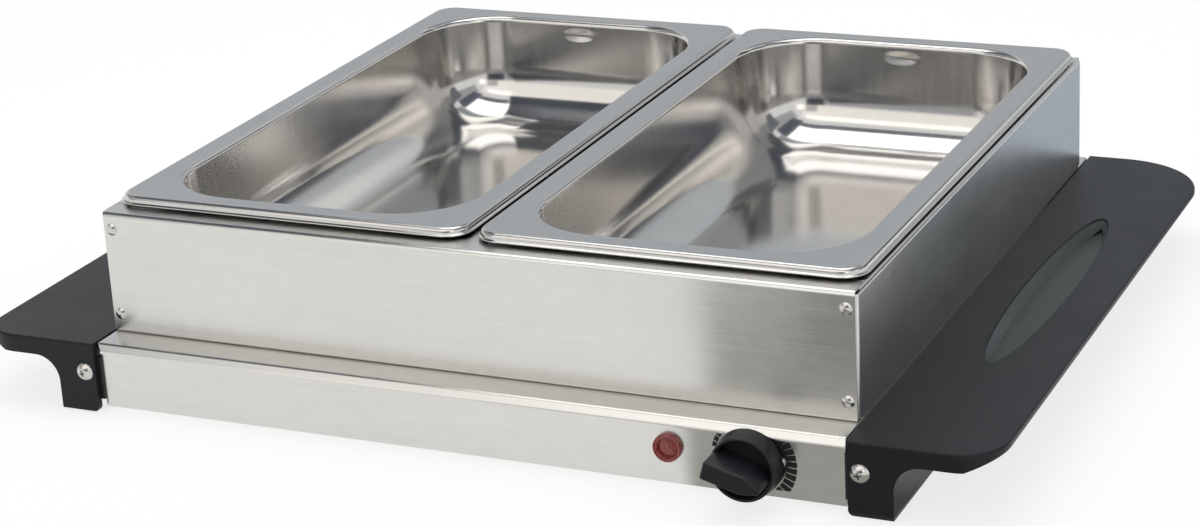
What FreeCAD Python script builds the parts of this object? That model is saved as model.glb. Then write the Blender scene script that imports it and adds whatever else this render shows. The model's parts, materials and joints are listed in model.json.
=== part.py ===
"""Buffet warmer: a heated base with moulded grips, a pan rack and two lift-out pans.

Millimetres. +X is the right-hand side, -Y the front, +Z up, Z = 0 the table. The pieces are drawn
about the middle of the rack, and each is then shifted in Y so that the origin lies at the middle of
the whole outline: the knob stands further out in front than the grips do behind.
"""
import FreeCAD, Part
import math
import os
import re
from FreeCAD import Placement, Rotation, Vector
import Sketcher

SIZES = {
    # rack
    "rack_width": 366, "rack_depth": 346, "rack_height": 58.6, "rack_sheet": 0.8, "rack_flange": 12.5,
    "rack_hem": 10, "rack_tab": 12, "corner_gap": 1, "rack_bend": 1.2, "corner_notch": 3,
    "rail_width": 16, "rail_depth": 8, "rail_tongue": 10,
    "rivet_inset": 5, "rivet_low": 9, "rivet_high": 50.5, "rivet_radius": 1.6, "rivet_head": 2.9,
    "rivet_dome": 1.3, "rivet_tail": 1,
    # pans
    "pan_gap": 3.4, "pan_side_gap": 1, "pan_front_gap": 8.5, "pan_rear_gap": 0.5, "pan_sheet": 0.8,
    "pan_rim": 14, "pan_skirt": 5, "pan_depth": 55, "pan_draft": 4, "pan_rim_corner": 12,
    "pan_corner": 38, "pan_floor_round": 29, "pan_rim_round": 3, "pan_mouth_round": 3,
    # base
    "deck_inset": 0.5, "deck_top": 34.1, "deck_ledge": 15.6, "deck_sheet": 1, "deck_lip": 5.5,
    "panel_sheet": 0.8, "panel_bottom": 2.4, "panel_hem": 12, "foot_inset_x": 13.5, "foot_inset_y": 26.6,
    "foot_radius": 10, "foot_taper": 0.8, "foot_bore": 2.2, "foot_sink": 4.6, "foot_sink_depth": 1.8,
    # grips
    "grip_reach": 64, "grip_gap": 1, "grip_overhang": 3, "grip_wall": 3, "grip_thickness": 8.4,
    "grip_edge": 2.6, "grip_slope": 14.5, "grip_leg": 20, "grip_leg_clear": 0.5, "grip_cove": 12,
    "grip_front_corner": 20, "grip_rear_corner": 45, "grip_round": 1.2, "grip_toe": 2.5, "oval_from_edge": 32.9,
    "oval_offset": 2, "oval_length": 193, "oval_width": 23.6, "oval_depth": 6.3, "oval_draft": 25,
    "bracket_sheet": 1.2, "bracket_depth": 22, "bracket_width": 14, "bracket_low": 6, "bracket_tall": 21,
    # screws and nuts
    "screw_radius": 2, "screw_clearance": 0.2, "screw_head": 4.4, "screw_dome": 2.6, "screw_slot": 1.2,
    "nut_radius": 3.6, "nut_height": 3, "grip_screw_x": 5.5, "grip_screw_z": 20,
    "flat_head": 3.8, "flat_head_height": 1.4,
    # knob, thermostat and scale
    "knob_from_side": 42.9, "knob_z": 18, "knob_back": 1.5, "knob_drum": 9.5, "knob_back_radius": 15.3,
    "knob_front_radius": 14.4, "knob_ring": 1.4, "knob_recess": 5, "knob_reach": 23, "bar_half": 4.2,
    "bar_straight": 5, "bar_tip": 12.8, "bar_inset": 0.2, "bar_round": 0.8, "knob_tilt": 16,
    "hub_radius": 5, "hub_bore_end": 7, "shaft_radius": 3, "shaft_fit": 0.05,
    "thermostat_width": 30, "thermostat_height": 24, "thermostat_depth": 22, "bush_radius": 5,
    "bush_fit": 0.2, "thermostat_screw_pitch": 25.6, "thermostat_screw": 1.5, "thermostat_head": 2.4,
    "thermostat_head_height": 1.1, "scale_inner": 16, "scale_start_radius": 18, "scale_end_radius": 21.2,
    "scale_ink": 0.12, "scale_start": 166, "scale_sweep": 216, "scale_blocks": 24, "scale_space": 1.6,
    "scale_clear": 0.3, "scale_low": 3.3,
    # pilot lamp
    "lamp_from_knob": 37.6, "lamp_z": 19, "lamp_radius": 6.9, "lamp_proud": 2.6, "lamp_dish": 4.5,
    "lamp_dish_depth": 1.3, "lamp_stem": 5, "lamp_stem_length": 6, "lamp_body": 4.4,
    "lamp_body_length": 12, "lamp_nut": 7.5, "lamp_nut_height": 1.2,
    # heater
    "heater_inset_x": 37.5, "heater_inset_y": 58.6, "spreader_sheet": 1.2, "element_radius": 3.2, "element_from_side": 77.5,
    "element_run": 95, "element_from_front": 48.6, "bead_radius": 4, "bead_length": 8, "clamp_y": 60,
    "clamp_length": 250, "clamp_width": 16, "clamp_sheet": 1.2, "stud_tail": 0.5, "mat_height": 6.3,
    "shield_top": 14, "shield_sheet": 0.6, "shield_margin": 5, "shield_foot": 8, "cutout_radius": 8,
    "cutout_height": 6, "cutout_ear": 32, "cutout_ear_width": 8, "cutout_ear_sheet": 1,
    # standoffs, rear fittings and wiring
    "standoff_inset_x": 18.5, "standoff_inset_y": 68.6, "standoff_radius": 4, "standoff_thread": 9,
    "gland_from_side": 62.5, "gland_z": 18, "gland_flange": 9, "gland_flange_height": 2.4, "gland_radius": 6.5,
    "gland_length": 12, "gland_bore": 3.6, "gland_nut_height": 4, "gland_fit": 0.1,
    "block_from_gland": 8, "block_from_rear": 38.6, "block_length": 40, "block_width": 16, "block_height": 14,
    "earth_from_side": 27.5, "earth_from_rear": 33.6, "earth_height": 12, "wire_radius": 1.2, "wire_z": 9,
    "wire_bend": 10, "live_from_block": 10,
}

doc = FreeCAD.newDocument("buffet_warmer")
sheet = doc.addObject("Spreadsheet::Sheet", "sizes")
for row, (alias, number) in enumerate(SIZES.items(), start=1):
    sheet.set(f"A{row}", str(number))
    sheet.setAlias(f"A{row}", alias)
doc.recompute()

# places that several pieces share, as formulas of the sizes
PLACES = {
    "outline_shift": "(knob_reach - grip_overhang - screw_dome) / 2",
    "half_depth": "rack_depth / 2 + deck_ledge",
    "half_width": "rack_width / 2 - deck_inset",
    "face_y": "half_depth - deck_sheet",
    "wall_x": "half_width - deck_sheet",
    "rack_top": "deck_top + rack_height",
    "pan_top": "rack_top + pan_skirt",
    "deck_under": "deck_top - deck_sheet",
    "floor_low": "panel_bottom + panel_sheet",
    "floor_top": "floor_low + panel_sheet",
    "foot_x": "half_width - foot_inset_x",
    "foot_y": "half_depth - foot_inset_y",
    "standoff_x": "half_width - standoff_inset_x",
    "standoff_y": "half_depth - standoff_inset_y",
    "grip_in": "half_width + grip_gap",
    "grip_out": "grip_in + grip_reach",
    "grip_end": "half_depth + grip_overhang",
    "knob_x": "half_width - knob_from_side",
    "lamp_x": "knob_x - lamp_from_knob",
    "heater_x": "half_width - heater_inset_x",
    "heater_y": "half_depth - heater_inset_y",
    "element_pitch": "(half_width - element_from_side) / 1.5",
    "element_front": "half_depth - element_from_front",
    "element_z": "deck_under - spreader_sheet - element_radius",
    "clamp_top": "element_z - element_radius",
    "nut_bottom": "clamp_top - clamp_sheet - nut_height",
    "gland_x": "half_width - gland_from_side",
    "block_x": "gland_x - block_from_gland",
    "block_y": "half_depth - block_from_rear",
    "earth_x": "half_width - earth_from_side",
    "earth_y": "half_depth - earth_from_rear",
    "live_x": "block_x + live_from_block",
    "screw_hole": "screw_radius + screw_clearance",
}

ALONG_X = Rotation(Vector(0, 1, 0), 90)
ALONG_Y = Rotation(Vector(1, 0, 0), -90)
AGAINST_Y = Rotation(Vector(1, 0, 0), 90)
UPRIGHT = Rotation()

pieces = {}


# ---------------------------------------------------------------- helpers
def size(name):
    """Number held by a cell."""
    return float(sheet.get(name))


def formula(text):
    """Formula with each shared place spelled out and each size name written as a cell of the sheet."""
    def spell(word):
        if word[0] in PLACES:
            return "(" + formula(PLACES[word[0]]) + ")"
        return "sizes." + word[0] if word[0] in SIZES else word[0]
    return re.sub(r"[a-z][a-z_]+", spell, str(text))


def bind(thing, **values):
    """Bind properties to formulas."""
    for name, text in values.items():
        thing.setExpression(name, formula(text))


def place(thing, x, y, z, turn=UPRIGHT):
    """Put an object at formula coordinates, turned."""
    thing.Placement = Placement(Vector(), turn)
    for letter, text in zip("xyz", (x, y, z)):
        thing.setExpression("Placement.Base." + letter, formula(text))
    return thing


def box(x, y, z):
    """Block between pairs of formulas along X, Y and Z."""
    block = doc.addObject("Part::Box", "Block")
    bind(block, Length=f"({x[1]}) - ({x[0]})", Width=f"({y[1]}) - ({y[0]})", Height=f"({z[1]}) - ({z[0]})")
    return place(block, x[0], y[0], z[0])


def rod(radius, length, x, y, z, turn=UPRIGHT):
    """Cylinder from a point along the turned Z axis."""
    bar = doc.addObject("Part::Cylinder", "Rod")
    bind(bar, Radius=radius, Height=length)
    return place(bar, x, y, z, turn)


def cone(first, second, length, x, y, z, turn=UPRIGHT):
    """Cone between two radii from a point along the turned Z axis."""
    taper = doc.addObject("Part::Cone", "Cone")
    bind(taper, Radius1=first, Radius2=second, Height=length)
    return place(taper, x, y, z, turn)


def bend(ring, tube, degrees, x, y, z, turn=UPRIGHT):
    """Bent rod: part of a torus about a point, from the turned X axis."""
    arc = doc.addObject("Part::Torus", "Bend")
    bind(arc, Radius1=ring, Radius2=tube)
    arc.Angle3 = degrees
    return place(arc, x, y, z, turn)


def fuse(*things):
    """One solid from several that touch or overlap."""
    whole = doc.addObject("Part::MultiFuse", "Joined")
    whole.Shapes = list(things)
    whole.Refine = True
    return whole


def cut(base, *tools):
    """Base without the tools."""
    result = doc.addObject("Part::Cut", "Cut")
    result.Base = base
    result.Tool = tools[0] if len(tools) == 1 else compound(*tools)
    return result


def compound(*things):
    """Several solids kept apart in one object."""
    group = doc.addObject("Part::Compound", "Group")
    group.Links = list(things)
    return group


def piece(label, thing):
    """Name a finished sub-part and shift it to the origin of the whole outline."""
    if thing.TypeId in ("Part::Box", "Part::Cylinder", "Part::Cone"):
        thing = compound(thing)
    thing.Label = label
    thing.setExpression("Placement.Base.y", formula("outline_shift"))
    pieces[label] = thing
    return thing


def corners(xs=(-1, 1), ys=(-1, 1)):
    """Signs of the four corners."""
    return [(x, y) for x in xs for y in ys]


# ---------------------------------------------------------------- part design helpers
def sketch_on(body, role, level=0):
    """Sketch on one of the body's own planes, moved along its normal."""
    sketch = body.newObject("Sketcher::SketchObject", "Sketch")
    plane = [feature for feature in body.Origin.OriginFeatures if feature.Role == role][0]
    sketch.AttachmentSupport = [(plane, "")]
    sketch.MapMode = "FlatFace"
    sketch.setExpression("AttachmentOffset.Base.z", formula(level))
    return sketch


def outline(sketch, points):
    """Closed outline whose every corner is bound to a pair of formulas."""
    first = sketch.GeometryCount
    count = len(points)
    for index in range(count):
        start = Vector(index, index * index, 0)
        end = Vector(index + 1, (index + 1) ** 2, 0)
        sketch.addGeometry(Part.LineSegment(start, end), False)
    for index in range(count):
        following = first + (index + 1) % count
        sketch.addConstraint(Sketcher.Constraint("Coincident", first + index, 2, following, 1))
    for index, (across, up) in enumerate(points):
        for kind, text in (("DistanceX", across), ("DistanceY", up)):
            number = sketch.addConstraint(Sketcher.Constraint(kind, -1, 1, first + index, 1, 1.0 + index))
            sketch.setExpression(f"Constraints[{number}]", formula(text))


def rectangle(sketch, x, y):
    """Rectangle between pairs of formulas."""
    outline(sketch, [(x[0], y[0]), (x[1], y[0]), (x[1], y[1]), (x[0], y[1])])


def rounded_rectangle(sketch, x, y, radius):
    """Rectangle between pairs of formulas, lowest first, with quarter-circle corners."""
    spots = [(-1, -1), (1, -1), (1, 1), (-1, 1)]
    arcs = []
    for index, (across, up) in enumerate(spots):
        ring = Part.Circle(Vector(2 * across, 2 * up, 0), Vector(0, 0, 1), 1)
        start = math.radians(180 + 90 * index)
        arcs.append(sketch.addGeometry(Part.ArcOfCircle(ring, start, start + math.pi / 2), False))
    ends = [((-2, -3), (2, -3)), ((3, -2), (3, 2)), ((2, 3), (-2, 3)), ((-3, 2), (-3, -2))]
    for index, (start, end) in enumerate(ends):
        side = sketch.addGeometry(Part.LineSegment(Vector(*start, 0), Vector(*end, 0)), False)
        sketch.addConstraint(Sketcher.Constraint("Coincident", side, 1, arcs[index], 2))
        sketch.addConstraint(Sketcher.Constraint("Coincident", side, 2, arcs[(index + 1) % 4], 1))
    for index, (across, up) in enumerate(spots):
        kinds = ("Horizontal", "Vertical") if index % 2 == 0 else ("Vertical", "Horizontal")
        sketch.addConstraint(Sketcher.Constraint(kinds[0], arcs[index], 1, arcs[index], 3))
        sketch.addConstraint(Sketcher.Constraint(kinds[1], arcs[index], 2, arcs[index], 3))
        centre = {"DistanceX": f"{x[across > 0]} - {across} * ({radius})",
                  "DistanceY": f"{y[up > 0]} - {up} * ({radius})"}
        for kind, text in centre.items():
            number = sketch.addConstraint(Sketcher.Constraint(kind, -1, 1, arcs[index], 3, 1.0))
            sketch.setExpression(f"Constraints[{number}]", formula(text))
        number = sketch.addConstraint(Sketcher.Constraint("Radius", arcs[index], 1.0))
        sketch.setExpression(f"Constraints[{number}]", formula(radius))


def circle(sketch, radius, x, y):
    """Circle bound to formulas."""
    index = sketch.addGeometry(Part.Circle(Vector(1, 1, 0), Vector(0, 0, 1), 1), False)
    for kind, text in (("DistanceX", x), ("DistanceY", y)):
        number = sketch.addConstraint(Sketcher.Constraint(kind, -1, 1, index, 3, 1.0))
        sketch.setExpression(f"Constraints[{number}]", formula(text))
    number = sketch.addConstraint(Sketcher.Constraint("Radius", index, 1.0))
    sketch.setExpression(f"Constraints[{number}]", formula(radius))


def pad(body, sketch, length, side="One side", draft="0", reverse=False):
    """Pad of a sketch."""
    feature = body.newObject("PartDesign::Pad", "Pad")
    feature.Profile = sketch
    feature.SideType = side
    feature.Reversed = reverse
    bind(feature, Length=length, TaperAngle=draft)
    doc.recompute()
    return feature


def pocket(body, sketch, length, side="One side", draft="0", reverse=False):
    """Pocket of a sketch; one that removes nothing is an error."""
    before = body.Shape.Volume
    feature = body.newObject("PartDesign::Pocket", "Pocket")
    feature.Profile = sketch
    feature.SideType = side
    feature.Reversed = reverse
    bind(feature, Length=length, TaperAngle=draft)
    doc.recompute()
    if body.Shape.Volume > before - 1e-6:
        raise RuntimeError(body.Label + ": a pocket removes nothing")
    return feature


def fillet(body, radius, test):
    """Round the edges of the body that pass a test on their bounds."""
    tip = body.Tip
    names = [f"Edge{number}" for number, edge in enumerate(tip.Shape.Edges, start=1) if test(edge.BoundBox)]
    if not names:
        raise RuntimeError(body.Label + ": no edge to round")
    feature = body.newObject("PartDesign::Fillet", "Fillet")
    feature.Base = (tip, names)
    bind(feature, Radius=radius)
    doc.recompute()
    return feature


def half_width():
    """Half of the width of the base."""
    return size("rack_width") / 2 - size("deck_inset")


def near(first, second, slack=0.01):
    """Whether two numbers agree."""
    return abs(first - second) < slack


def new_body(label):
    """Part design body that becomes a sub-part."""
    body = doc.addObject("PartDesign::Body", label)
    return piece(label, body)


# ---------------------------------------------------------------- rack
def rack_end_panel(label, side):
    """Front or rear rack panel: a channel with a top flange, a bottom hem and rivet holes."""
    body = new_body(label)
    half = "rack_depth / 2"
    profile = [
        (half, "deck_top"), (half, "rack_top"), (f"{half} - rack_flange", "rack_top"),
        (f"{half} - rack_flange", "rack_top - rack_sheet"), (f"{half} - rack_sheet", "rack_top - rack_sheet"),
        (f"{half} - rack_sheet", "deck_top + rack_sheet"), (f"{half} - rack_hem", "deck_top + rack_sheet"),
        (f"{half} - rack_hem", "deck_top"),
    ]
    sketch = sketch_on(body, "YZ_Plane")
    outline(sketch, [(f"{side} * ({across})", up) for across, up in profile])
    pad(body, sketch, "rack_width - 2 * corner_gap", "Symmetric")
    outside = side * size("rack_depth") / 2
    fillet(body, "rack_bend", lambda edge: near(edge.YMin, outside) and near(edge.YMax, outside)
           and edge.XLength > size("rack_width") / 2)
    holes = sketch_on(body, "XZ_Plane")
    for across in (-1, 1):
        for level in ("rivet_low", "rivet_high"):
            circle(holes, "rivet_radius + shaft_fit", f"{across} * (rack_width / 2 - rivet_inset)", f"deck_top + {level}")
    pocket(body, holes, "2 * rack_depth", "Symmetric")


def rack_side_panel(label, side):
    """Left or right rack panel: a folded sheet with tabs that lie behind the end panels."""
    body = new_body(label)
    skin = "rack_sheet"
    reach = "(rack_depth / 2 - rack_sheet)"
    inner = f"(rack_width / 2 - {skin})"
    tabs = [
        ("rack_width / 2", f"-{reach}"), ("rack_width / 2", reach), ("rack_width / 2 - rack_tab", reach),
        ("rack_width / 2 - rack_tab", f"{reach} - {skin}"), (inner, f"{reach} - {skin}"),
        (inner, f"{skin} - {reach}"), ("rack_width / 2 - rack_tab", f"{skin} - {reach}"),
        ("rack_width / 2 - rack_tab", f"-{reach}"),
    ]
    sketch = sketch_on(body, "XY_Plane", "deck_top + 2 * rack_sheet")
    outline(sketch, [(f"{side} * ({across})", up) for across, up in tabs])
    pad(body, sketch, "rack_height - 4 * rack_sheet")
    outer = side * size("rack_width") / 2
    corner = size("rack_depth") / 2 - size("rack_sheet")
    fillet(body, "rack_bend", lambda edge: near(edge.XMin, outer) and near(edge.XMax, outer)
           and near(abs(edge.YMin), corner) and edge.ZLength > size("rack_height") / 2)
    web = sketch_on(body, "YZ_Plane")
    rectangle(web, (f"corner_notch - {reach}", f"{reach} - corner_notch"), ("deck_top", "rack_top"))
    web.setExpression("AttachmentOffset.Base.z", formula(f"{side} * rack_width / 2"))
    pad(body, web, skin, reverse=side > 0)
    fold = [
        (inner, "deck_top"), (inner, "rack_top"), ("rack_width / 2 - rack_flange", "rack_top"),
        ("rack_width / 2 - rack_flange", f"rack_top - {skin}"), (f"{inner} - {skin}", f"rack_top - {skin}"),
        (f"{inner} - {skin}", f"deck_top + {skin}"), ("rack_width / 2 - rack_hem", f"deck_top + {skin}"),
        ("rack_width / 2 - rack_hem", "deck_top"),
    ]
    for upper in (True, False):
        flange = sketch_on(body, "XZ_Plane")
        level = (f"rack_top - {skin}", "rack_top") if upper else ("deck_top", f"deck_top + {skin}")
        width = "rack_flange" if upper else "rack_hem"
        rectangle(flange, (f"{side} * (rack_width / 2 - {width})", f"{side} * {inner}"), level)
        pad(body, flange, "rack_depth - 2 * rack_flange - rack_sheet", "Symmetric")
    lift = (size("deck_top"), size("deck_top") + size("rack_height"))
    fillet(body, "rack_bend / 2", lambda edge: near(edge.XMin, outer) and near(edge.XMax, outer)
           and edge.YLength > size("rack_depth") / 2 and (near(edge.ZMin, lift[0]) or near(edge.ZMin, lift[1])))
    holes = sketch_on(body, "XZ_Plane")
    for level in ("rivet_low", "rivet_high"):
        circle(holes, "rivet_radius + shaft_fit", f"{side} * (rack_width / 2 - rivet_inset)", f"deck_top + {level}")
    pocket(body, holes, "2 * rack_depth", "Symmetric")


def rack_rail():
    """Channel from front to rear that carries the inner rims, with a tongue under each end flange."""
    reach = "(rack_depth / 2 - rack_flange)"
    half = "rail_width / 2"
    top = box((f"-{half}", half), (f"-{reach}", reach), ("rack_top - rack_sheet", "rack_top"))
    walls = [box((f"{sign} * ({half} - rack_sheet / 2) - rack_sheet / 2", f"{sign} * ({half} - rack_sheet / 2) + rack_sheet / 2"),
                 (f"-{reach}", reach), ("rack_top - rail_depth", "rack_top")) for sign in (-1, 1)]
    tongues = [box((f"rack_sheet + 0.2 * rack_sheet - {half}", f"{half} - 1.2 * rack_sheet"),
                   (f"{sign} * {reach} - rail_tongue", f"{sign} * {reach} + rail_tongue"),
                   ("rack_top - 2 * rack_sheet", "rack_top - rack_sheet")) for sign in (-1, 1)]
    piece("rack_centre_rail", fuse(top, *walls, *tongues))


def rivets(label, side):
    """Dome-headed rivets that hold an end panel to the side tabs."""
    group = []
    turn = AGAINST_Y if side < 0 else ALONG_Y
    for across in (-1, 1):
        for level in ("rivet_low", "rivet_high"):
            x = f"{across} * (rack_width / 2 - rivet_inset)"
            z = f"deck_top + {level}"
            head = cone("rivet_head", "rivet_head * 0.55", "rivet_dome", x, f"{side} * rack_depth / 2", z, turn)
            shank = rod("rivet_radius", "2 * rack_sheet", x, f"{side} * (rack_depth / 2 - 2 * rack_sheet)", z, turn)
            tail = rod("rivet_head * 0.85", "rivet_tail", x,
                       f"{side} * (rack_depth / 2 - 2 * rack_sheet - rivet_tail)", z, turn)
            group.append(fuse(head, shank, tail))
    piece(label, compound(*group))


# ---------------------------------------------------------------- pans
def pan(label, side):
    """Deep-drawn pan: flat rim with a turned-down skirt, drafted walls and a rounded floor."""
    body = new_body(label)
    inner, outer = "pan_gap / 2", "rack_width / 2 - pan_side_gap"
    front, rear = "pan_front_gap - rack_depth / 2", "rack_depth / 2 - pan_rear_gap"

    def ring_sketch(level, margin, corner):
        sketch = sketch_on(body, "XY_Plane", level)
        x = sorted_pair(side, f"{inner} + {margin}", f"{outer} - {margin}")
        rounded_rectangle(sketch, x, (f"{front} + {margin}", f"{rear} - {margin}"), corner)
        return sketch

    pad(body, ring_sketch("rack_top", "0", "pan_rim_corner"), "pan_skirt")
    under_rim = ring_sketch("rack_top", "pan_sheet", "pan_rim_corner - pan_sheet")
    pocket(body, under_rim, "pan_skirt - pan_sheet", reverse=True)
    tub = ring_sketch("pan_top - pan_sheet", "(pan_rim - pan_sheet)", "pan_corner + pan_sheet")
    pad(body, tub, "pan_depth", draft="-pan_draft", reverse=True)
    pocket(body, ring_sketch("pan_top", "pan_rim", "pan_corner"), "pan_depth", draft="-pan_draft")

    skin = size("pan_sheet")
    top = size("deck_top") + size("rack_height") + size("pan_skirt")
    floor = top - size("pan_depth")
    margin = 1.5 * size("pan_rim_round")
    for radius, level, mouth in (
            ("pan_rim_round - pan_sheet", top - skin, False), ("pan_rim_round", top, False),
            ("pan_floor_round", floor, True), ("pan_floor_round + pan_sheet", floor - skin, True),
            ("pan_mouth_round - pan_sheet", top - skin, True), ("pan_mouth_round", top, True)):
        fillet(body, radius, lambda edge: near(edge.ZMin, level, 0.05) and near(edge.ZMax, level, 0.05)
               and inside_rim(edge, body, margin) == mouth)


def inside_rim(edge, body, margin):
    """Whether an edge lies well inside the outline of its body."""
    bounds = body.Tip.Shape.BoundBox
    return (edge.XMin > bounds.XMin + margin and edge.XMax < bounds.XMax - margin
            and edge.YMin > bounds.YMin + margin and edge.YMax < bounds.YMax - margin)


# ---------------------------------------------------------------- base housing
def deck():
    """Warming plate: a shallow lid with a down-turned lip all round."""
    body = new_body("deck")
    plate = sketch_on(body, "XY_Plane", "deck_top - deck_lip")
    rectangle(plate, ("-half_width", "half_width"), ("-half_depth", "half_depth"))
    pad(body, plate, "deck_lip")
    fillet(body, "deck_sheet", lambda edge: near(edge.ZMin, size("deck_top")) or edge.ZLength > size("deck_lip") / 2)
    hollow = sketch_on(body, "XY_Plane", "deck_top - deck_lip")
    rectangle(hollow, ("-wall_x", "wall_x"), ("-face_y", "face_y"))
    pocket(body, hollow, "deck_lip - deck_sheet", reverse=True)


def end_panel(label, side, holes):
    """Front or rear strip of the base: an angle whose bottom hem carries the bottom pan."""
    body = new_body(label)
    profile = [
        ("face_y", "panel_bottom"), ("face_y", "deck_under"), ("face_y - panel_sheet", "deck_under"),
        ("face_y - panel_sheet", "floor_low"), ("face_y - panel_hem", "floor_low"), ("face_y - panel_hem", "panel_bottom"),
    ]
    sketch = sketch_on(body, "YZ_Plane")
    outline(sketch, [(f"{side} * ({across})", up) for across, up in profile])
    pad(body, sketch, "2 * wall_x", "Symmetric")
    drills = sketch_on(body, "XZ_Plane")
    for radius, x, z in holes:
        circle(drills, radius, x, z)
    pocket(body, drills, "2 * rack_depth", "Symmetric")


def bottom_pan():
    """Bottom plate with two upturned side walls."""
    body = new_body("bottom_pan")
    sketch = sketch_on(body, "XZ_Plane")
    outline(sketch, [
        ("-wall_x", "floor_low"), ("wall_x", "floor_low"), ("wall_x", "deck_under"), ("wall_x - panel_sheet", "deck_under"),
        ("wall_x - panel_sheet", "floor_top"), ("panel_sheet - wall_x", "floor_top"),
        ("panel_sheet - wall_x", "deck_under"), ("-wall_x", "deck_under"),
    ])
    pad(body, sketch, "2 * (face_y - panel_sheet)", "Symmetric")
    drills = sketch_on(body, "XY_Plane")
    for x, y in corners():
        circle(drills, "screw_hole", f"{x} * foot_x", f"{y} * foot_y")
        circle(drills, "screw_hole", f"{x} * standoff_x", f"{y} * standoff_y")
    pocket(body, drills, "2 * floor_top", "Symmetric")
    bores = sketch_on(body, "YZ_Plane")
    for y in (-1, 1):
        for z in (-1, 1):
            circle(bores, "rivet_radius + shaft_fit", *bracket_rivet(y, z))
    pocket(body, bores, "2 * rack_width", "Symmetric")


def feet():
    """Four rubber feet with sunk screws and nuts."""
    names = {(-1, -1): "front_left", (1, -1): "front_right", (-1, 1): "rear_left", (1, 1): "rear_right"}
    screws = []
    nuts = []
    for x, y in corners():
        at = (f"{x} * foot_x", f"{y} * foot_y")
        puck = cone("foot_radius - foot_taper", "foot_radius", "floor_low", *at, "0")
        bore = rod("foot_bore", "floor_low", *at, "0")
        sink = rod("foot_sink", "foot_sink_depth", *at, "0")
        piece("foot_" + names[x, y], cut(puck, bore, sink))
        head = rod("flat_head", "flat_head_height", *at, "foot_sink_depth - flat_head_height")
        shank = rod("screw_radius", "floor_top + nut_height - foot_sink_depth", *at, "foot_sink_depth")
        screws.append(fuse(head, shank))
        nuts.append(ring("nut_radius", "screw_hole", "nut_height", *at, "floor_top"))
    piece("foot_screws", compound(*screws))
    piece("foot_nuts", compound(*nuts))


def ring(radius, bore, height, x, y, z, turn=UPRIGHT):
    """Collar or nut with a plain bore."""
    return cut(rod(radius, height, x, y, z, turn), rod(bore, height, x, y, z, turn))


def standoffs():
    """Four spacers between the bottom pan and the deck, each with a screw from below."""
    posts = []
    screws = []
    for x, y in corners():
        at = (f"{x} * standoff_x", f"{y} * standoff_y")
        post = rod("standoff_radius", "deck_under - floor_top", *at, "floor_top")
        posts.append(cut(post, rod("screw_radius + shaft_fit", "standoff_thread", *at, "floor_top")))
        head = rod("flat_head", "flat_head_height", *at, "floor_low - flat_head_height")
        shank = rod("screw_radius", "standoff_thread - screw_radius", *at, "floor_low")
        screws.append(fuse(head, shank))
    piece("deck_standoffs", compound(*posts))
    piece("standoff_screws", compound(*screws))


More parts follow.
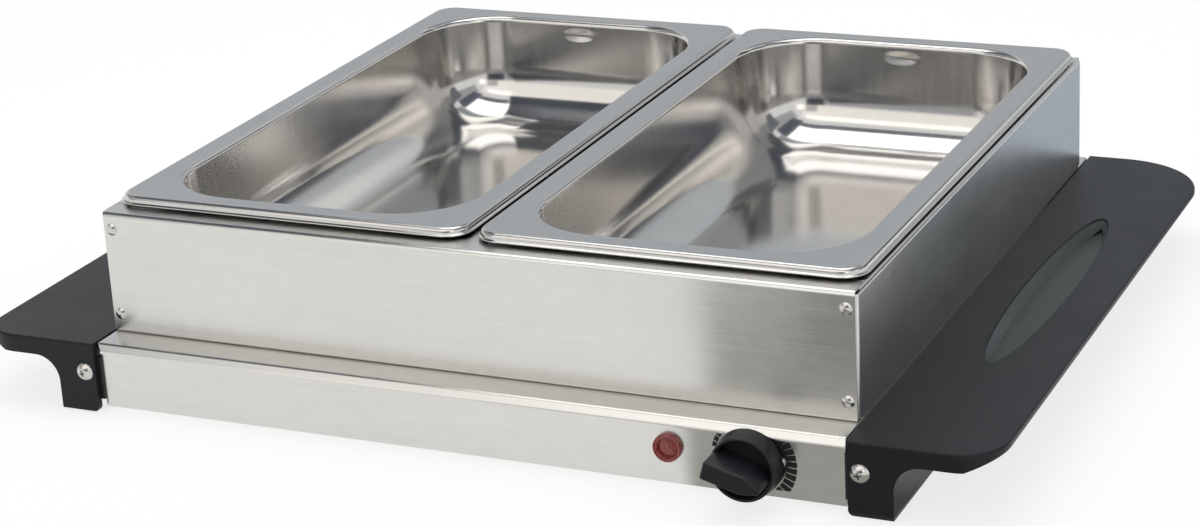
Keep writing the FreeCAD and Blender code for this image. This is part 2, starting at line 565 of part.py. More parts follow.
# ---------------------------------------------------------------- grips
def grip(label, side):
    """Moulded end grip: a wing with an oval finger scoop on a hollow leg."""
    body = doc.addObject("PartDesign::Body", label + "_moulding")
    plan = sketch_on(body, "XY_Plane", "grip_leg_clear")
    rectangle(plan, (f"{side} * grip_in", f"{side} * grip_out"), ("-grip_end", "grip_end"))
    pad(body, plan, "deck_top - grip_leg_clear")
    outer = side * (half_width() + size("grip_gap") + size("grip_reach"))
    for end, radius in ((-1, "grip_front_corner"), (1, "grip_rear_corner")):
        fillet(body, radius, lambda edge: edge.ZLength > size("deck_top") / 2 and near(edge.XMin, outer) and edge.YMin * end > 0)
    leg = "(grip_in + grip_leg)"
    under = "(deck_top - grip_thickness)"
    wing = sketch_on(body, "XZ_Plane")
    outline(wing, [(f"{side} * ({across})", up) for across, up in (
        (leg, "-1 * grip_wall"), (leg, under), ("grip_out - grip_slope", under),
        ("grip_out", "deck_top - grip_edge"), ("grip_out + grip_wall", "deck_top - grip_edge"),
        ("grip_out + grip_wall", "-1 * grip_wall"))])
    pocket(body, wing, "3 * grip_end", "Symmetric")
    cove = (side * (half_width() + size("grip_gap") + size("grip_leg")), size("deck_top") - size("grip_thickness"))
    fillet(body, "grip_cove", lambda edge: edge.YLength > size("rack_depth") / 2 and near(edge.XMin, cove[0]) and near(edge.ZMin, cove[1]))
    fillet(body, "grip_round", lambda edge: near(edge.ZMin, size("deck_top")) and not near(edge.XMax * side, abs(inner_edge())))
    inner = side * inner_edge()
    fillet(body, "grip_toe", lambda edge: edge.YLength > size("rack_depth") / 2 and near(edge.XMin, inner) and near(edge.XMax, inner)
           and near(edge.ZMin, size("grip_leg_clear")) and near(edge.ZMax, size("grip_leg_clear")))
    cavity = sketch_on(body, "XY_Plane")
    rectangle(cavity, (f"{side} * (grip_in - grip_wall)", f"{side} * ({leg} - grip_wall)"),
              ("grip_wall - grip_end", "grip_end - grip_wall"))
    pocket(body, cavity, "deck_top - grip_wall", reverse=True)
    lightening = sketch_on(body, "XY_Plane")
    wing_x = (f"{side} * ({leg} + grip_wall)", f"{side} * (grip_out - grip_slope - grip_wall / 2)")
    rectangle(lightening, wing_x, ("4 * grip_wall - grip_end", "oval_offset - oval_length / 2 - 2 * grip_wall"))
    rectangle(lightening, wing_x, ("oval_offset + oval_length / 2 + 2 * grip_wall", "grip_end - grip_rear_corner"))
    pocket(body, lightening, "deck_top - grip_wall", reverse=True)
    drills = sketch_on(body, "XZ_Plane")
    circle(drills, "screw_hole", f"{side} * (grip_in + grip_screw_x)", "grip_screw_z")
    pocket(body, drills, "3 * grip_end", "Symmetric")

    oval = doc.addObject("Part::Ellipse", "Oval")
    bind(oval, MajorRadius="oval_length / 2", MinorRadius="oval_width / 2")
    place(oval, f"{side} * (grip_out - oval_from_edge)", "oval_offset", "deck_top", Rotation(Vector(0, 0, 1), 90))
    scoop = doc.addObject("Part::Extrusion", "Scoop")
    scoop.Base = oval
    scoop.Dir = Vector(0, 0, -1)
    scoop.Solid = True
    bind(scoop, LengthFwd="oval_depth", TaperAngle="-oval_draft")
    piece(label, cut(body, scoop))


def inner_edge():
    """X of the edge of a grip that faces the base."""
    return half_width() + size("grip_gap")


def bracket_rivet(end, level):
    """Y and Z of a rivet in a grip bracket."""
    y = f"{end} * (half_depth - bracket_depth * 0.7)"
    return y, f"bracket_low + bracket_tall / 2 + {level} * bracket_tall / 4"


def grip_brackets():
    """Four steel angles that carry the grips, riveted to the bottom pan."""
    names = {(-1, -1): "front_left", (1, -1): "front_right", (-1, 1): "rear_left", (1, 1): "rear_right"}
    fixings = []
    for x, y in corners():
        web = box(sorted_pair(x, "wall_x", "wall_x + bracket_sheet"),
                  sorted_pair(y, "half_depth - bracket_depth", "half_depth"),
                  ("bracket_low", "bracket_low + bracket_tall"))
        tab = box(sorted_pair(x, "wall_x", "grip_in + bracket_width"),
                  sorted_pair(y, "half_depth - bracket_sheet", "half_depth"),
                  ("bracket_low", "bracket_low + bracket_tall"))
        hole = rod("screw_hole", "4 * bracket_sheet", f"{x} * (grip_in + grip_screw_x)",
                   f"{y} * half_depth - 2 * bracket_sheet", "grip_screw_z", ALONG_Y)
        bores = []
        for level in (-1, 1):
            rivet_y, rivet_z = bracket_rivet(y, level)
            bores.append(rod("rivet_radius + shaft_fit", "4 * bracket_sheet",
                             f"{x} * wall_x - 2 * bracket_sheet", rivet_y, rivet_z, ALONG_X))
            shank = rod("rivet_radius", "panel_sheet + bracket_sheet",
                        f"{x} * (wall_x + (bracket_sheet - panel_sheet) / 2) - (panel_sheet + bracket_sheet) / 2",
                        rivet_y, rivet_z, ALONG_X)
            heads = [rod("rivet_head * 0.85", "rivet_tail", f"{x} * (wall_x + {offset}) - rivet_tail / 2",
                         rivet_y, rivet_z, ALONG_X)
                     for offset in ("bracket_sheet + rivet_tail / 2", "-1 * panel_sheet - rivet_tail / 2")]
            fixings.append(fuse(shank, *heads))
        piece("bracket_" + names[x, y], cut(fuse(web, tab), hole, *bores))
    piece("bracket_rivets", compound(*fixings))


def sorted_pair(side, near_middle, outside):
    """Lower and upper formula of a stretch on the left or right, or front or rear."""
    pair = (f"{side} * ({near_middle})", f"{side} * ({outside})")
    return pair if side > 0 else pair[::-1]


def grip_screws():
    """Cross-recessed screws through the ends of the grips."""
    screws = []
    for x, y in corners():
        turn = ALONG_Y if y > 0 else AGAINST_Y
        at_x = f"{x} * (grip_in + grip_screw_x)"
        face = f"{y} * grip_end"
        head = cone("screw_head", "screw_head * 0.7", "screw_dome", at_x, face, "grip_screw_z", turn)
        shank = rod("screw_radius", "grip_wall + 3 * bracket_sheet", at_x,
                    f"{y} * (grip_end - grip_wall - 3 * bracket_sheet)", "grip_screw_z", turn)
        reach = "screw_head / 2"
        depth = sorted_pair(y, "grip_end + screw_dome / 3", "grip_end + 2 * screw_dome")
        wide = box((f"{at_x} - {reach}", f"{at_x} + {reach}"), depth,
                   ("grip_screw_z - screw_slot / 2", "grip_screw_z + screw_slot / 2"))
        tall = box((f"{at_x} - screw_slot / 2", f"{at_x} + screw_slot / 2"), depth,
                   (f"grip_screw_z - {reach}", f"grip_screw_z + {reach}"))
        screws.append(cut(fuse(head, shank), wide, tall))
    piece("grip_screws", compound(*screws))


# ---------------------------------------------------------------- controls
def knob():
    """Drum with a recessed face and a raised pointer bar, bored for the shaft."""
    body = new_body("control_knob")
    body.setExpression("Placement.Base.x", formula("knob_x"))
    body.setExpression("Placement.Base.z", formula("knob_z"))
    body.setExpression("Placement.Base.y", formula("outline_shift - half_depth"))
    front = "(knob_back + knob_drum)"
    face = f"({front} - knob_recess)"
    ring_in = "(knob_front_radius - knob_ring)"
    drum = sketch_on(body, "XY_Plane")
    outline(drum, [("0", "-1 * knob_back"), ("knob_back_radius", "-1 * knob_back"), ("knob_front_radius", f"-{front}"),
                   (ring_in, f"-{front}"), (ring_in, f"-{face}"), ("0", f"-{face}")])
    turned = body.newObject("PartDesign::Revolution", "Drum")
    turned.Profile = drum
    turned.ReferenceAxis = (drum, ["V_Axis"])
    turned.Angle = 360
    doc.recompute()
    bar = sketch_on(body, "XZ_Plane", face)
    heel = "(bar_inset - sqrt(knob_front_radius * knob_front_radius - bar_half * bar_half))"
    outline(bar, [(heel, "-1 * bar_half"), ("bar_straight", "-1 * bar_half"), ("bar_tip", "0"),
                  ("bar_straight", "bar_half"), (heel, "bar_half")])
    pad(body, bar, f"knob_reach - {face}")
    tip = -size("knob_reach")
    fillet(body, "bar_round", lambda edge: near(edge.YMin, tip) and near(edge.YMax, tip))
    cavity = sketch_on(body, "XZ_Plane", "knob_back")
    circle(cavity, f"{ring_in}", "0", "0")
    circle(cavity, "hub_radius", "0", "0")
    pocket(body, cavity, f"({face} - knob_back) / 2", reverse=True)
    bore = sketch_on(body, "XZ_Plane", "knob_back")
    circle(bore, "shaft_radius + shaft_fit", "0", "0")
    pocket(body, bore, "knob_reach - hub_bore_end - knob_back", reverse=True)
    tilt(body)


def tilt(thing):
    """Turn a knob piece so that its bar points at the start of the scale."""
    base = thing.Placement.Base
    thing.Placement = Placement(base, Rotation(Vector(0, 1, 0), size("knob_tilt")))


def thermostat():
    """Thermostat behind the front panel, with its bush, shaft and screws."""
    inside = "(face_y - panel_sheet)"
    case = box(("knob_x - thermostat_width / 2", "knob_x + thermostat_width / 2"),
               (f"-{inside}", f"thermostat_depth - {inside}"),
               ("knob_z - thermostat_height / 2", "knob_z + thermostat_height / 2"))
    bush = rod("bush_radius", "panel_sheet + bush_fit", "knob_x", f"bush_fit - {inside}", "knob_z", AGAINST_Y)
    shaft_hole = rod("shaft_radius + shaft_fit", "thermostat_depth / 2 + panel_sheet + bush_fit", "knob_x",
                     f"thermostat_depth / 2 - {inside}", "knob_z", AGAINST_Y)
    screws = []
    threads = []
    for side in (-1, 1):
        x = f"knob_x + {side} * thermostat_screw_pitch / 2"
        head = rod("thermostat_head", "thermostat_head_height", x, "-face_y", "knob_z", AGAINST_Y)
        shank = rod("thermostat_screw", "panel_sheet + 6 * thermostat_screw", x, f"6 * thermostat_screw - {inside}",
                    "knob_z", AGAINST_Y)
        threads.append(rod("thermostat_screw + shaft_fit", "7 * thermostat_screw", x,
                           f"7 * thermostat_screw - {inside}", "knob_z", AGAINST_Y))
        screws.append(fuse(head, shank))
    piece("thermostat_body", cut(fuse(case, bush), shaft_hole, *threads))
    piece("thermostat_screws", compound(*screws))
    shaft_end = "(half_depth + knob_reach - hub_bore_end - shaft_radius / 4)"
    shaft_back = f"({inside} - thermostat_depth / 2 + shaft_radius / 2)"
    piece("thermostat_shaft", rod("shaft_radius", f"{shaft_end} - {shaft_back}", "knob_x", f"-{shaft_back}", "knob_z",
                                  AGAINST_Y))


def scale():
    """Heat scale printed round the knob below the deck lip: blocks that grow towards the hot end."""
    blocks = []
    count = int(size("scale_blocks"))
    step = size("scale_sweep") / count
    for index in range(count):
        turn = ALONG_Y.multiply(Rotation(Vector(0, 0, 1), index * step - size("scale_start")))
        at = ("knob_x", "-face_y - scale_ink", "knob_z", turn)
        radius = f"scale_start_radius + (scale_end_radius - scale_start_radius) * {index} / (scale_blocks - 1)"
        slices = [rod(radius, "scale_ink", *at), rod("scale_inner", "scale_ink", *at)]
        for part in slices:
            bind(part, Angle="scale_sweep / scale_blocks - scale_space")
        blocks.append(cut(*slices))
    window = box(("knob_x - 2 * scale_end_radius", "knob_x + 2 * scale_end_radius"),
                 ("-2 * face_y", "0"), ("panel_bottom + scale_low", "deck_top - deck_lip - scale_clear"))
    printed = doc.addObject("Part::Common", "Printed")
    printed.Base = compound(*blocks)
    printed.Tool = window
    piece("dial_scale", printed)


def pilot_lamp():
    """Red lens with a dished face, lamp body behind it and the push nut that holds them."""
    at = ("lamp_x", "-face_y", "lamp_z")
    bezel = cone("lamp_radius", "lamp_radius * 0.9", "lamp_proud", *at, AGAINST_Y)
    stem = rod("lamp_stem", "lamp_stem_length", "lamp_x", "lamp_stem_length - face_y", "lamp_z", AGAINST_Y)
    dish = rod("lamp_dish", "lamp_dish_depth", "lamp_x", "lamp_dish_depth - lamp_proud - face_y", "lamp_z", AGAINST_Y)
    piece("lamp_lens", cut(fuse(bezel, stem), dish))
    piece("lamp_body", rod("lamp_body", "lamp_body_length", "lamp_x", "lamp_stem_length - face_y", "lamp_z", ALONG_Y))
    piece("lamp_nut", ring("lamp_nut", "lamp_stem + shaft_fit", "lamp_nut_height", "lamp_x",
                           "panel_sheet - face_y", "lamp_z", ALONG_Y))


# ---------------------------------------------------------------- heater
def heater():
    """Spreader sheet, bent tubular element, clamps, insulation mat and heat shield under the deck."""
    studs = [(x, y) for x in (-1, 0, 1) for y in (-1, 1)]
    stud_at = {key: (f"{key[0]} * element_pitch", f"{key[1]} * clamp_y") for key in studs}
    sheet_z = ("deck_under - spreader_sheet", "deck_under")
    spreader = box(("-heater_x", "heater_x"), ("-heater_y", "heater_y"), sheet_z)
    piece("heat_spreader", cut(spreader, *[rod("screw_hole", "spreader_sheet", *at, sheet_z[0]) for at in stud_at.values()]))

    runs = []
    for lane in (-1.5, -0.5, 0.5, 1.5):
        start = "element_front" if abs(lane) > 1 else "element_run"
        runs.append(rod("element_radius", f"{start} + element_run", f"{lane} * element_pitch", f"-{start}", "element_z", ALONG_Y))
    for lane, end in ((-1, 1), (0, -1), (1, 1)):
        turn = UPRIGHT if end > 0 else Rotation(Vector(0, 0, 1), 180)
        runs.append(bend("element_pitch / 2", "element_radius", 180, f"{lane} * element_pitch", f"{end} * element_run",
                         "element_z", turn))
    piece("heating_element", fuse(*runs))
    beads = [rod("bead_radius", "bead_length", f"{lane} * element_pitch", "-element_front", "element_z", AGAINST_Y)
             for lane in (-1.5, 1.5)]
    piece("element_beads", compound(*beads))

    for end, name in ((-1, "front"), (1, "rear")):
        strip = box(("-clamp_length / 2", "clamp_length / 2"),
                    (f"{end} * clamp_y - clamp_width / 2", f"{end} * clamp_y + clamp_width / 2"),
                    ("clamp_top - clamp_sheet", "clamp_top"))
        holes = [rod("screw_hole", "clamp_sheet", *at, "clamp_top - clamp_sheet")
                 for key, at in stud_at.items() if key[1] == end]
        piece("element_clamp_" + name, cut(strip, *holes))
    piece("clamp_studs", compound(*[rod("screw_radius", "deck_under - nut_bottom + stud_tail", *at,
                                        "nut_bottom - stud_tail") for at in stud_at.values()]))
    piece("clamp_nuts", compound(*[ring("nut_radius", "screw_hole", "nut_height", *at, "nut_bottom")
                                   for at in stud_at.values()]))
    piece("insulation_mat", box(("-heater_x", "heater_x"), ("-heater_y", "heater_y"),
                                ("shield_top", "shield_top + mat_height")))
    heat_shield()
    disc = rod("cutout_radius", "cutout_height", "0", "0", f"{sheet_z[0]} - cutout_height")
    ear = box(("-cutout_ear / 2", "cutout_ear / 2"), ("-cutout_ear_width / 2", "cutout_ear_width / 2"),
              (f"{sheet_z[0]} - cutout_ear_sheet", sheet_z[0]))
    piece("thermal_cutout", fuse(disc, ear))


def heat_shield():
    """Folded sheet that stands on the bottom pan and carries the insulation mat."""
    body = new_body("heat_shield")
    half = "(heater_x + shield_margin)"
    right = [
        (f"{half} + shield_foot", "floor_top"), (f"{half} + shield_foot", "floor_top + shield_sheet"),
        (half, "floor_top + shield_sheet"), (half, "shield_top"),
    ]
    inside = [
        (f"{half} - shield_sheet", "shield_top - shield_sheet"), (f"{half} - shield_sheet", "floor_top"),
    ]
    left = [(f"-1 * ({across})", up) for across, up in reversed(right)]
    left_inside = [(f"-1 * ({across})", up) for across, up in reversed(inside)]
    sketch = sketch_on(body, "XZ_Plane")
    outline(sketch, right + left + left_inside + inside)
    pad(body, sketch, "2 * heater_y", "Symmetric")


# ---------------------------------------------------------------- supply and wiring
def supply_fittings():
    """Cord gland with its nut in the rear panel, terminal block and earth stud."""
    at = ("-gland_x", "face_y", "gland_z")
    flange = rod("gland_flange", "gland_flange_height", *at, ALONG_Y)
    barrel = rod("gland_radius", "gland_length", *at, AGAINST_Y)
    bore = rod("gland_bore", "gland_length + gland_flange_height", "-gland_x", "face_y + gland_flange_height", "gland_z",
               AGAINST_Y)
    piece("cord_gland", cut(fuse(flange, barrel), bore))
    piece("gland_nut", ring("gland_flange", "gland_radius + gland_fit", "gland_nut_height", "-gland_x",
                            "face_y - panel_sheet", "gland_z", AGAINST_Y))
    piece("terminal_block", box(("-block_x - block_length / 2", "block_length / 2 - block_x"),
                                ("block_y - block_width / 2", "block_y + block_width / 2"),
                                ("floor_top", "floor_top + block_height")))
    piece("earth_stud", fuse(rod("screw_radius", "earth_height", "-earth_x", "earth_y", "floor_top"),
                             rod("nut_radius", "nut_height", "-earth_x", "earth_y", "floor_top")))


def wiring():
    """Insulated wires between the terminal block, thermostat, lamp and element."""
    block_front = "(block_y - block_width / 2)"
    body_side = "(knob_x - thermostat_width / 2)"
    row = "(face_y - panel_sheet - thermostat_depth / 2)"
    live_turn = f"(wire_bend - {row})"
    live = fuse(
        rod("wire_radius", f"{block_front} - {live_turn}", "-live_x", live_turn, "wire_z", ALONG_Y),
        bend("wire_bend", "wire_radius", 90, "wire_bend - live_x", live_turn, "wire_z", Rotation(Vector(0, 0, 1), 180)),
        rod("wire_radius", f"{body_side} + live_x - wire_bend", "wire_bend - live_x", f"-{row}", "wire_z", ALONG_X))
    piece("live_wire", live)

    bead_front = "(element_front + bead_length)"
    end_x = "1.5 * element_pitch"
    loop = "((element_z - wire_z) / 2)"
    loop_y = f"({bead_front} + wire_bend / 2)"
    neutral = fuse(
        rod("wire_radius", f"{block_front} + {loop_y}", f"-{end_x}", f"-{loop_y}", "wire_z", ALONG_Y),
        bend(loop, "wire_radius", 180, f"-{end_x}", f"-{loop_y}", f"wire_z + {loop}",
             Rotation(Vector(0, 0, -1), Vector(0, -1, 0), Vector(-1, 0, 0), "XYZ")),
        rod("wire_radius", "wire_bend / 2", f"-{end_x}", f"-{loop_y}", "element_z", ALONG_Y))
    piece("neutral_wire", neutral)

    turn_y = f"({row} - wire_bend)"
    switched = fuse(
        rod("wire_radius", f"{body_side} - {end_x} - wire_bend", f"{end_x} + wire_bend", f"-{row}", "element_z", ALONG_X),
        bend("wire_bend", "wire_radius", 90, f"{end_x} + wire_bend", f"-{turn_y}", "element_z", Rotation(Vector(0, 0, 1), 180)),
        rod("wire_radius", f"{turn_y} - {bead_front}", end_x, f"-{turn_y}", "element_z", ALONG_Y))
    piece("switched_wire", switched)


def build():
    """Build every sub-part."""
    rack_end_panel("rack_front_panel", -1)
    rack_end_panel("rack_rear_panel", 1)
    rack_side_panel("rack_left_panel", -1)
    rack_side_panel("rack_right_panel", 1)
    rack_rail()
    rivets("rack_front_rivets", -1)
    rivets("rack_rear_rivets", 1)
    pan("left_pan", -1)
    pan("right_pan", 1)
    deck()
    screw_x = [f"knob_x + {side} * thermostat_screw_pitch / 2" for side in (-1, 1)]
    end_panel("front_panel", -1, [
        ("lamp_stem + shaft_fit", "lamp_x", "lamp_z"), ("bush_radius + bush_fit", "knob_x", "knob_z"),
        ("thermostat_screw + shaft_fit", screw_x[0], "knob_z"), ("thermostat_screw + shaft_fit", screw_x[1], "knob_z")])
    end_panel("rear_panel", 1, [("gland_radius + gland_fit", "-gland_x", "gland_z")])
    bottom_pan()
    feet()
    standoffs()
    grip("left_grip", -1)
    grip("right_grip", 1)
    grip_brackets()
    grip_screws()
    knob()
    thermostat()
    scale()
    pilot_lamp()
    heater()
    supply_fittings()
    wiring()


def write_steps():
    """Check every object and write each sub-part to its own file."""
    doc.recompute()
    for thing in doc.Objects:
        if "Invalid" in thing.State or "Error" in thing.State:
            raise RuntimeError(f"{thing.Label} failed: {thing.State}")
    for label, thing in pieces.items():
        if thing.Shape.isNull() or not thing.Shape.isValid() or not thing.Shape.Solids:
            raise RuntimeError(label + ": not a valid solid")
    os.makedirs("parts", exist_ok=True)
    for label, thing in pieces.items():
        thing.Shape.exportStep(f"parts/{label}.step")
        bounds = thing.Shape.BoundBox
        print(f"{label}: {len(thing.Shape.Solids)} solid(s), X {bounds.XMin:.1f}..{bounds.XMax:.1f}, "
              f"Y {bounds.YMin:.1f}..{bounds.YMax:.1f}, Z {bounds.ZMin:.1f}..{bounds.ZMax:.1f}")


build()
write_steps()
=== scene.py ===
import json
import math

import bpy
from mathutils import Matrix, Vector


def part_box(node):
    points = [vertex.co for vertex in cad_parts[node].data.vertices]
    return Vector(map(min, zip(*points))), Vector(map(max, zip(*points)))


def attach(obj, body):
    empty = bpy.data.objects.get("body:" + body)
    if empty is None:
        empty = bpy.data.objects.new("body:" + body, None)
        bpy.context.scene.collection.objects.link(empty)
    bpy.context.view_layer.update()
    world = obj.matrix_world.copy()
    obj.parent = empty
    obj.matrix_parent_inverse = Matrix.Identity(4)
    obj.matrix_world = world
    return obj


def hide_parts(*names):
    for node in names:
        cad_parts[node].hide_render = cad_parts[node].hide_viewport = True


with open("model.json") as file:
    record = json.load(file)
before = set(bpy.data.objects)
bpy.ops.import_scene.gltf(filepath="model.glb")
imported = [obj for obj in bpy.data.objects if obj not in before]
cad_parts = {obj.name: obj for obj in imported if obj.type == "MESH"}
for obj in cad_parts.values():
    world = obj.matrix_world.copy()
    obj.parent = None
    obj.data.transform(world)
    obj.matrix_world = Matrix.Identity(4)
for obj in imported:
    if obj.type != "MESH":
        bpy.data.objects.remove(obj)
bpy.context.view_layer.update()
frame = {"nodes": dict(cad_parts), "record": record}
nodes = frame["nodes"]
bpy.ops.object.select_all(action="DESELECT")
print("frame loaded:", len(nodes), "nodes")

rackShift = 0.0087  # the pans are drawn about the middle of the rack, this far behind the origin
mmPerMetre = 1000


def linear(hexCode):  # sRGB hex to linear RGBA
    parts = [int(hexCode[i:i + 2], 16) / 255 for i in (0, 2, 4)]
    return [c / 12.92 if c <= 0.04045 else ((c + 0.055) / 1.055) ** 2.4 for c in parts] + [1.0]


def activate(piece):
    bpy.ops.object.select_all(action="DESELECT")
    piece.select_set(True)
    bpy.context.view_layer.objects.active = piece


def bakePlace(piece):
    # put the place, turn and scale of a piece into its mesh
    activate(piece)
    bpy.ops.object.transform_apply(location=True, rotation=True, scale=True)
    return piece


def startEdit(piece, kind, test):
    # edit mode with the vertices, edges or faces selected that pass a test
    activate(piece)
    bpy.ops.object.mode_set(mode="EDIT")
    bpy.ops.mesh.select_mode(type=kind)
    bpy.ops.mesh.select_all(action="DESELECT")
    bpy.ops.object.mode_set(mode="OBJECT")
    mesh = piece.data
    if kind == "VERT":
        for vert in mesh.vertices:
            vert.select = bool(test(vert.co))
    elif kind == "EDGE":
        for edge in mesh.edges:
            ends = [mesh.vertices[i].co for i in edge.vertices]
            edge.select = bool(test(ends[0], ends[1]))
    else:
        for face in mesh.polygons:
            face.select = bool(test(face.center, face.normal))
    bpy.ops.object.mode_set(mode="EDIT")


def endEdit():
    bpy.ops.object.mode_set(mode="OBJECT")


def every(*places):
    return True


def facesUp(centre, normal):
    return normal.z > 0.9


def facesDown(centre, normal):
    return normal.z < -0.9


def levelEdgesFrom(height):
    # a test for the level edges at this height or higher
    return lambda a, b: abs(a.z - b.z) < 1e-6 and a.z > height - 1e-5


def extrude(x, y, z):
    bpy.ops.mesh.extrude_region_move(TRANSFORM_OT_translate={"value": (x, y, z)})


def resize(x, y):
    bpy.ops.transform.resize(value=(x, y, 1))


def addCylinder(sides, radius, length, middleZ):
    bpy.ops.mesh.primitive_cylinder_add(vertices=sides, radius=radius, depth=length, location=(0, 0, middleZ))
    return bakePlace(bpy.context.active_object)


def addBlock(size, middle):
    bpy.ops.mesh.primitive_cube_add(size=1, location=middle)
    block = bpy.context.active_object
    block.scale = size
    return bakePlace(block)


def applyModifier(piece, kind, **settings):
    activate(piece)
    modifier = piece.modifiers.new(kind.title(), kind)
    for name, value in settings.items():
        setattr(modifier, name, value)
    bpy.ops.object.modifier_apply(modifier=modifier.name)


def joinPieces(pieces, name):
    bpy.ops.object.select_all(action="DESELECT")
    for piece in pieces:
        piece.select_set(True)
    bpy.context.view_layer.objects.active = pieces[0]
    bpy.ops.object.join()
    pieces[0].name = name
    pieces[0].data.name = name
    return pieces[0]


def copyPiece(piece, name):
    twin = piece.copy()
    twin.data = piece.data.copy()
    twin.name = name
    twin.data.name = name
    bpy.context.scene.collection.objects.link(twin)
    return twin


def mergeAndFaceOut(piece, distance):
    startEdit(piece, "VERT", every)
    bpy.ops.mesh.remove_doubles(threshold=distance)
    bpy.ops.mesh.normals_make_consistent(inside=False)
    endEdit()


def flipFaces(piece):
    startEdit(piece, "FACE", every)
    bpy.ops.mesh.flip_normals()
    endEdit()


def shadeSmooth(piece, angle):
    activate(piece)
    bpy.ops.object.shade_smooth_by_angle(angle=math.radians(angle))


def addNode(tree, kind, settings=None, links=None):
    # settings: attributes, sockets or ramp stops with their values
    # links: sockets and the outputs that feed them
    node = tree.nodes.new(kind)
    for key, value in (settings or {}).items():
        if key == "stops":
            points = node.color_ramp.elements
            while len(points) < len(value):
                points.new(0.5)
            for point, (position, colour) in zip(points, value):
                point.position = position
                point.color = colour
        elif isinstance(key, str) and hasattr(node, key):
            setattr(node, key, value)
        else:
            node.inputs[key].default_value = value
    for key, output in (links or {}).items():
        tree.links.new(output, node.inputs[key])
    return node


def newMaterial(name):
    material = bpy.data.materials.new(name)
    material.use_nodes = True
    material.node_tree.nodes.clear()
    return material, material.node_tree


def finishMaterial(tree, shader):
    addNode(tree, "ShaderNodeOutputMaterial", links={"Surface": shader.outputs[0]})


brushedSheet = {
    "pale": "dcdbd7", "dark": "d2d1cd", "spread": (0.35, 0.65),
    "lineMm": 0.4, "lineLengthMm": 45,  # grit lines, drawn coarser than the real 0.05 mm so that they show
    "mottleMm": 9, "smudgeMm": 80, "smudgeShare": 0.5, "patchShare": 0.45,
    "roughness": (0.2, 0.25), "bumpMm": 0.004, "bumpStrength": 0.3,
    "anisotropy": 0.8, "quarterTurn": 0.25,
    "lean": 0.82, "leanDone": 1.7,  # a soft bend turns up this far, in full bendMm / leanDone below its top
    "spareFlow": 0.01,  # gives the brush a direction on level faces
}


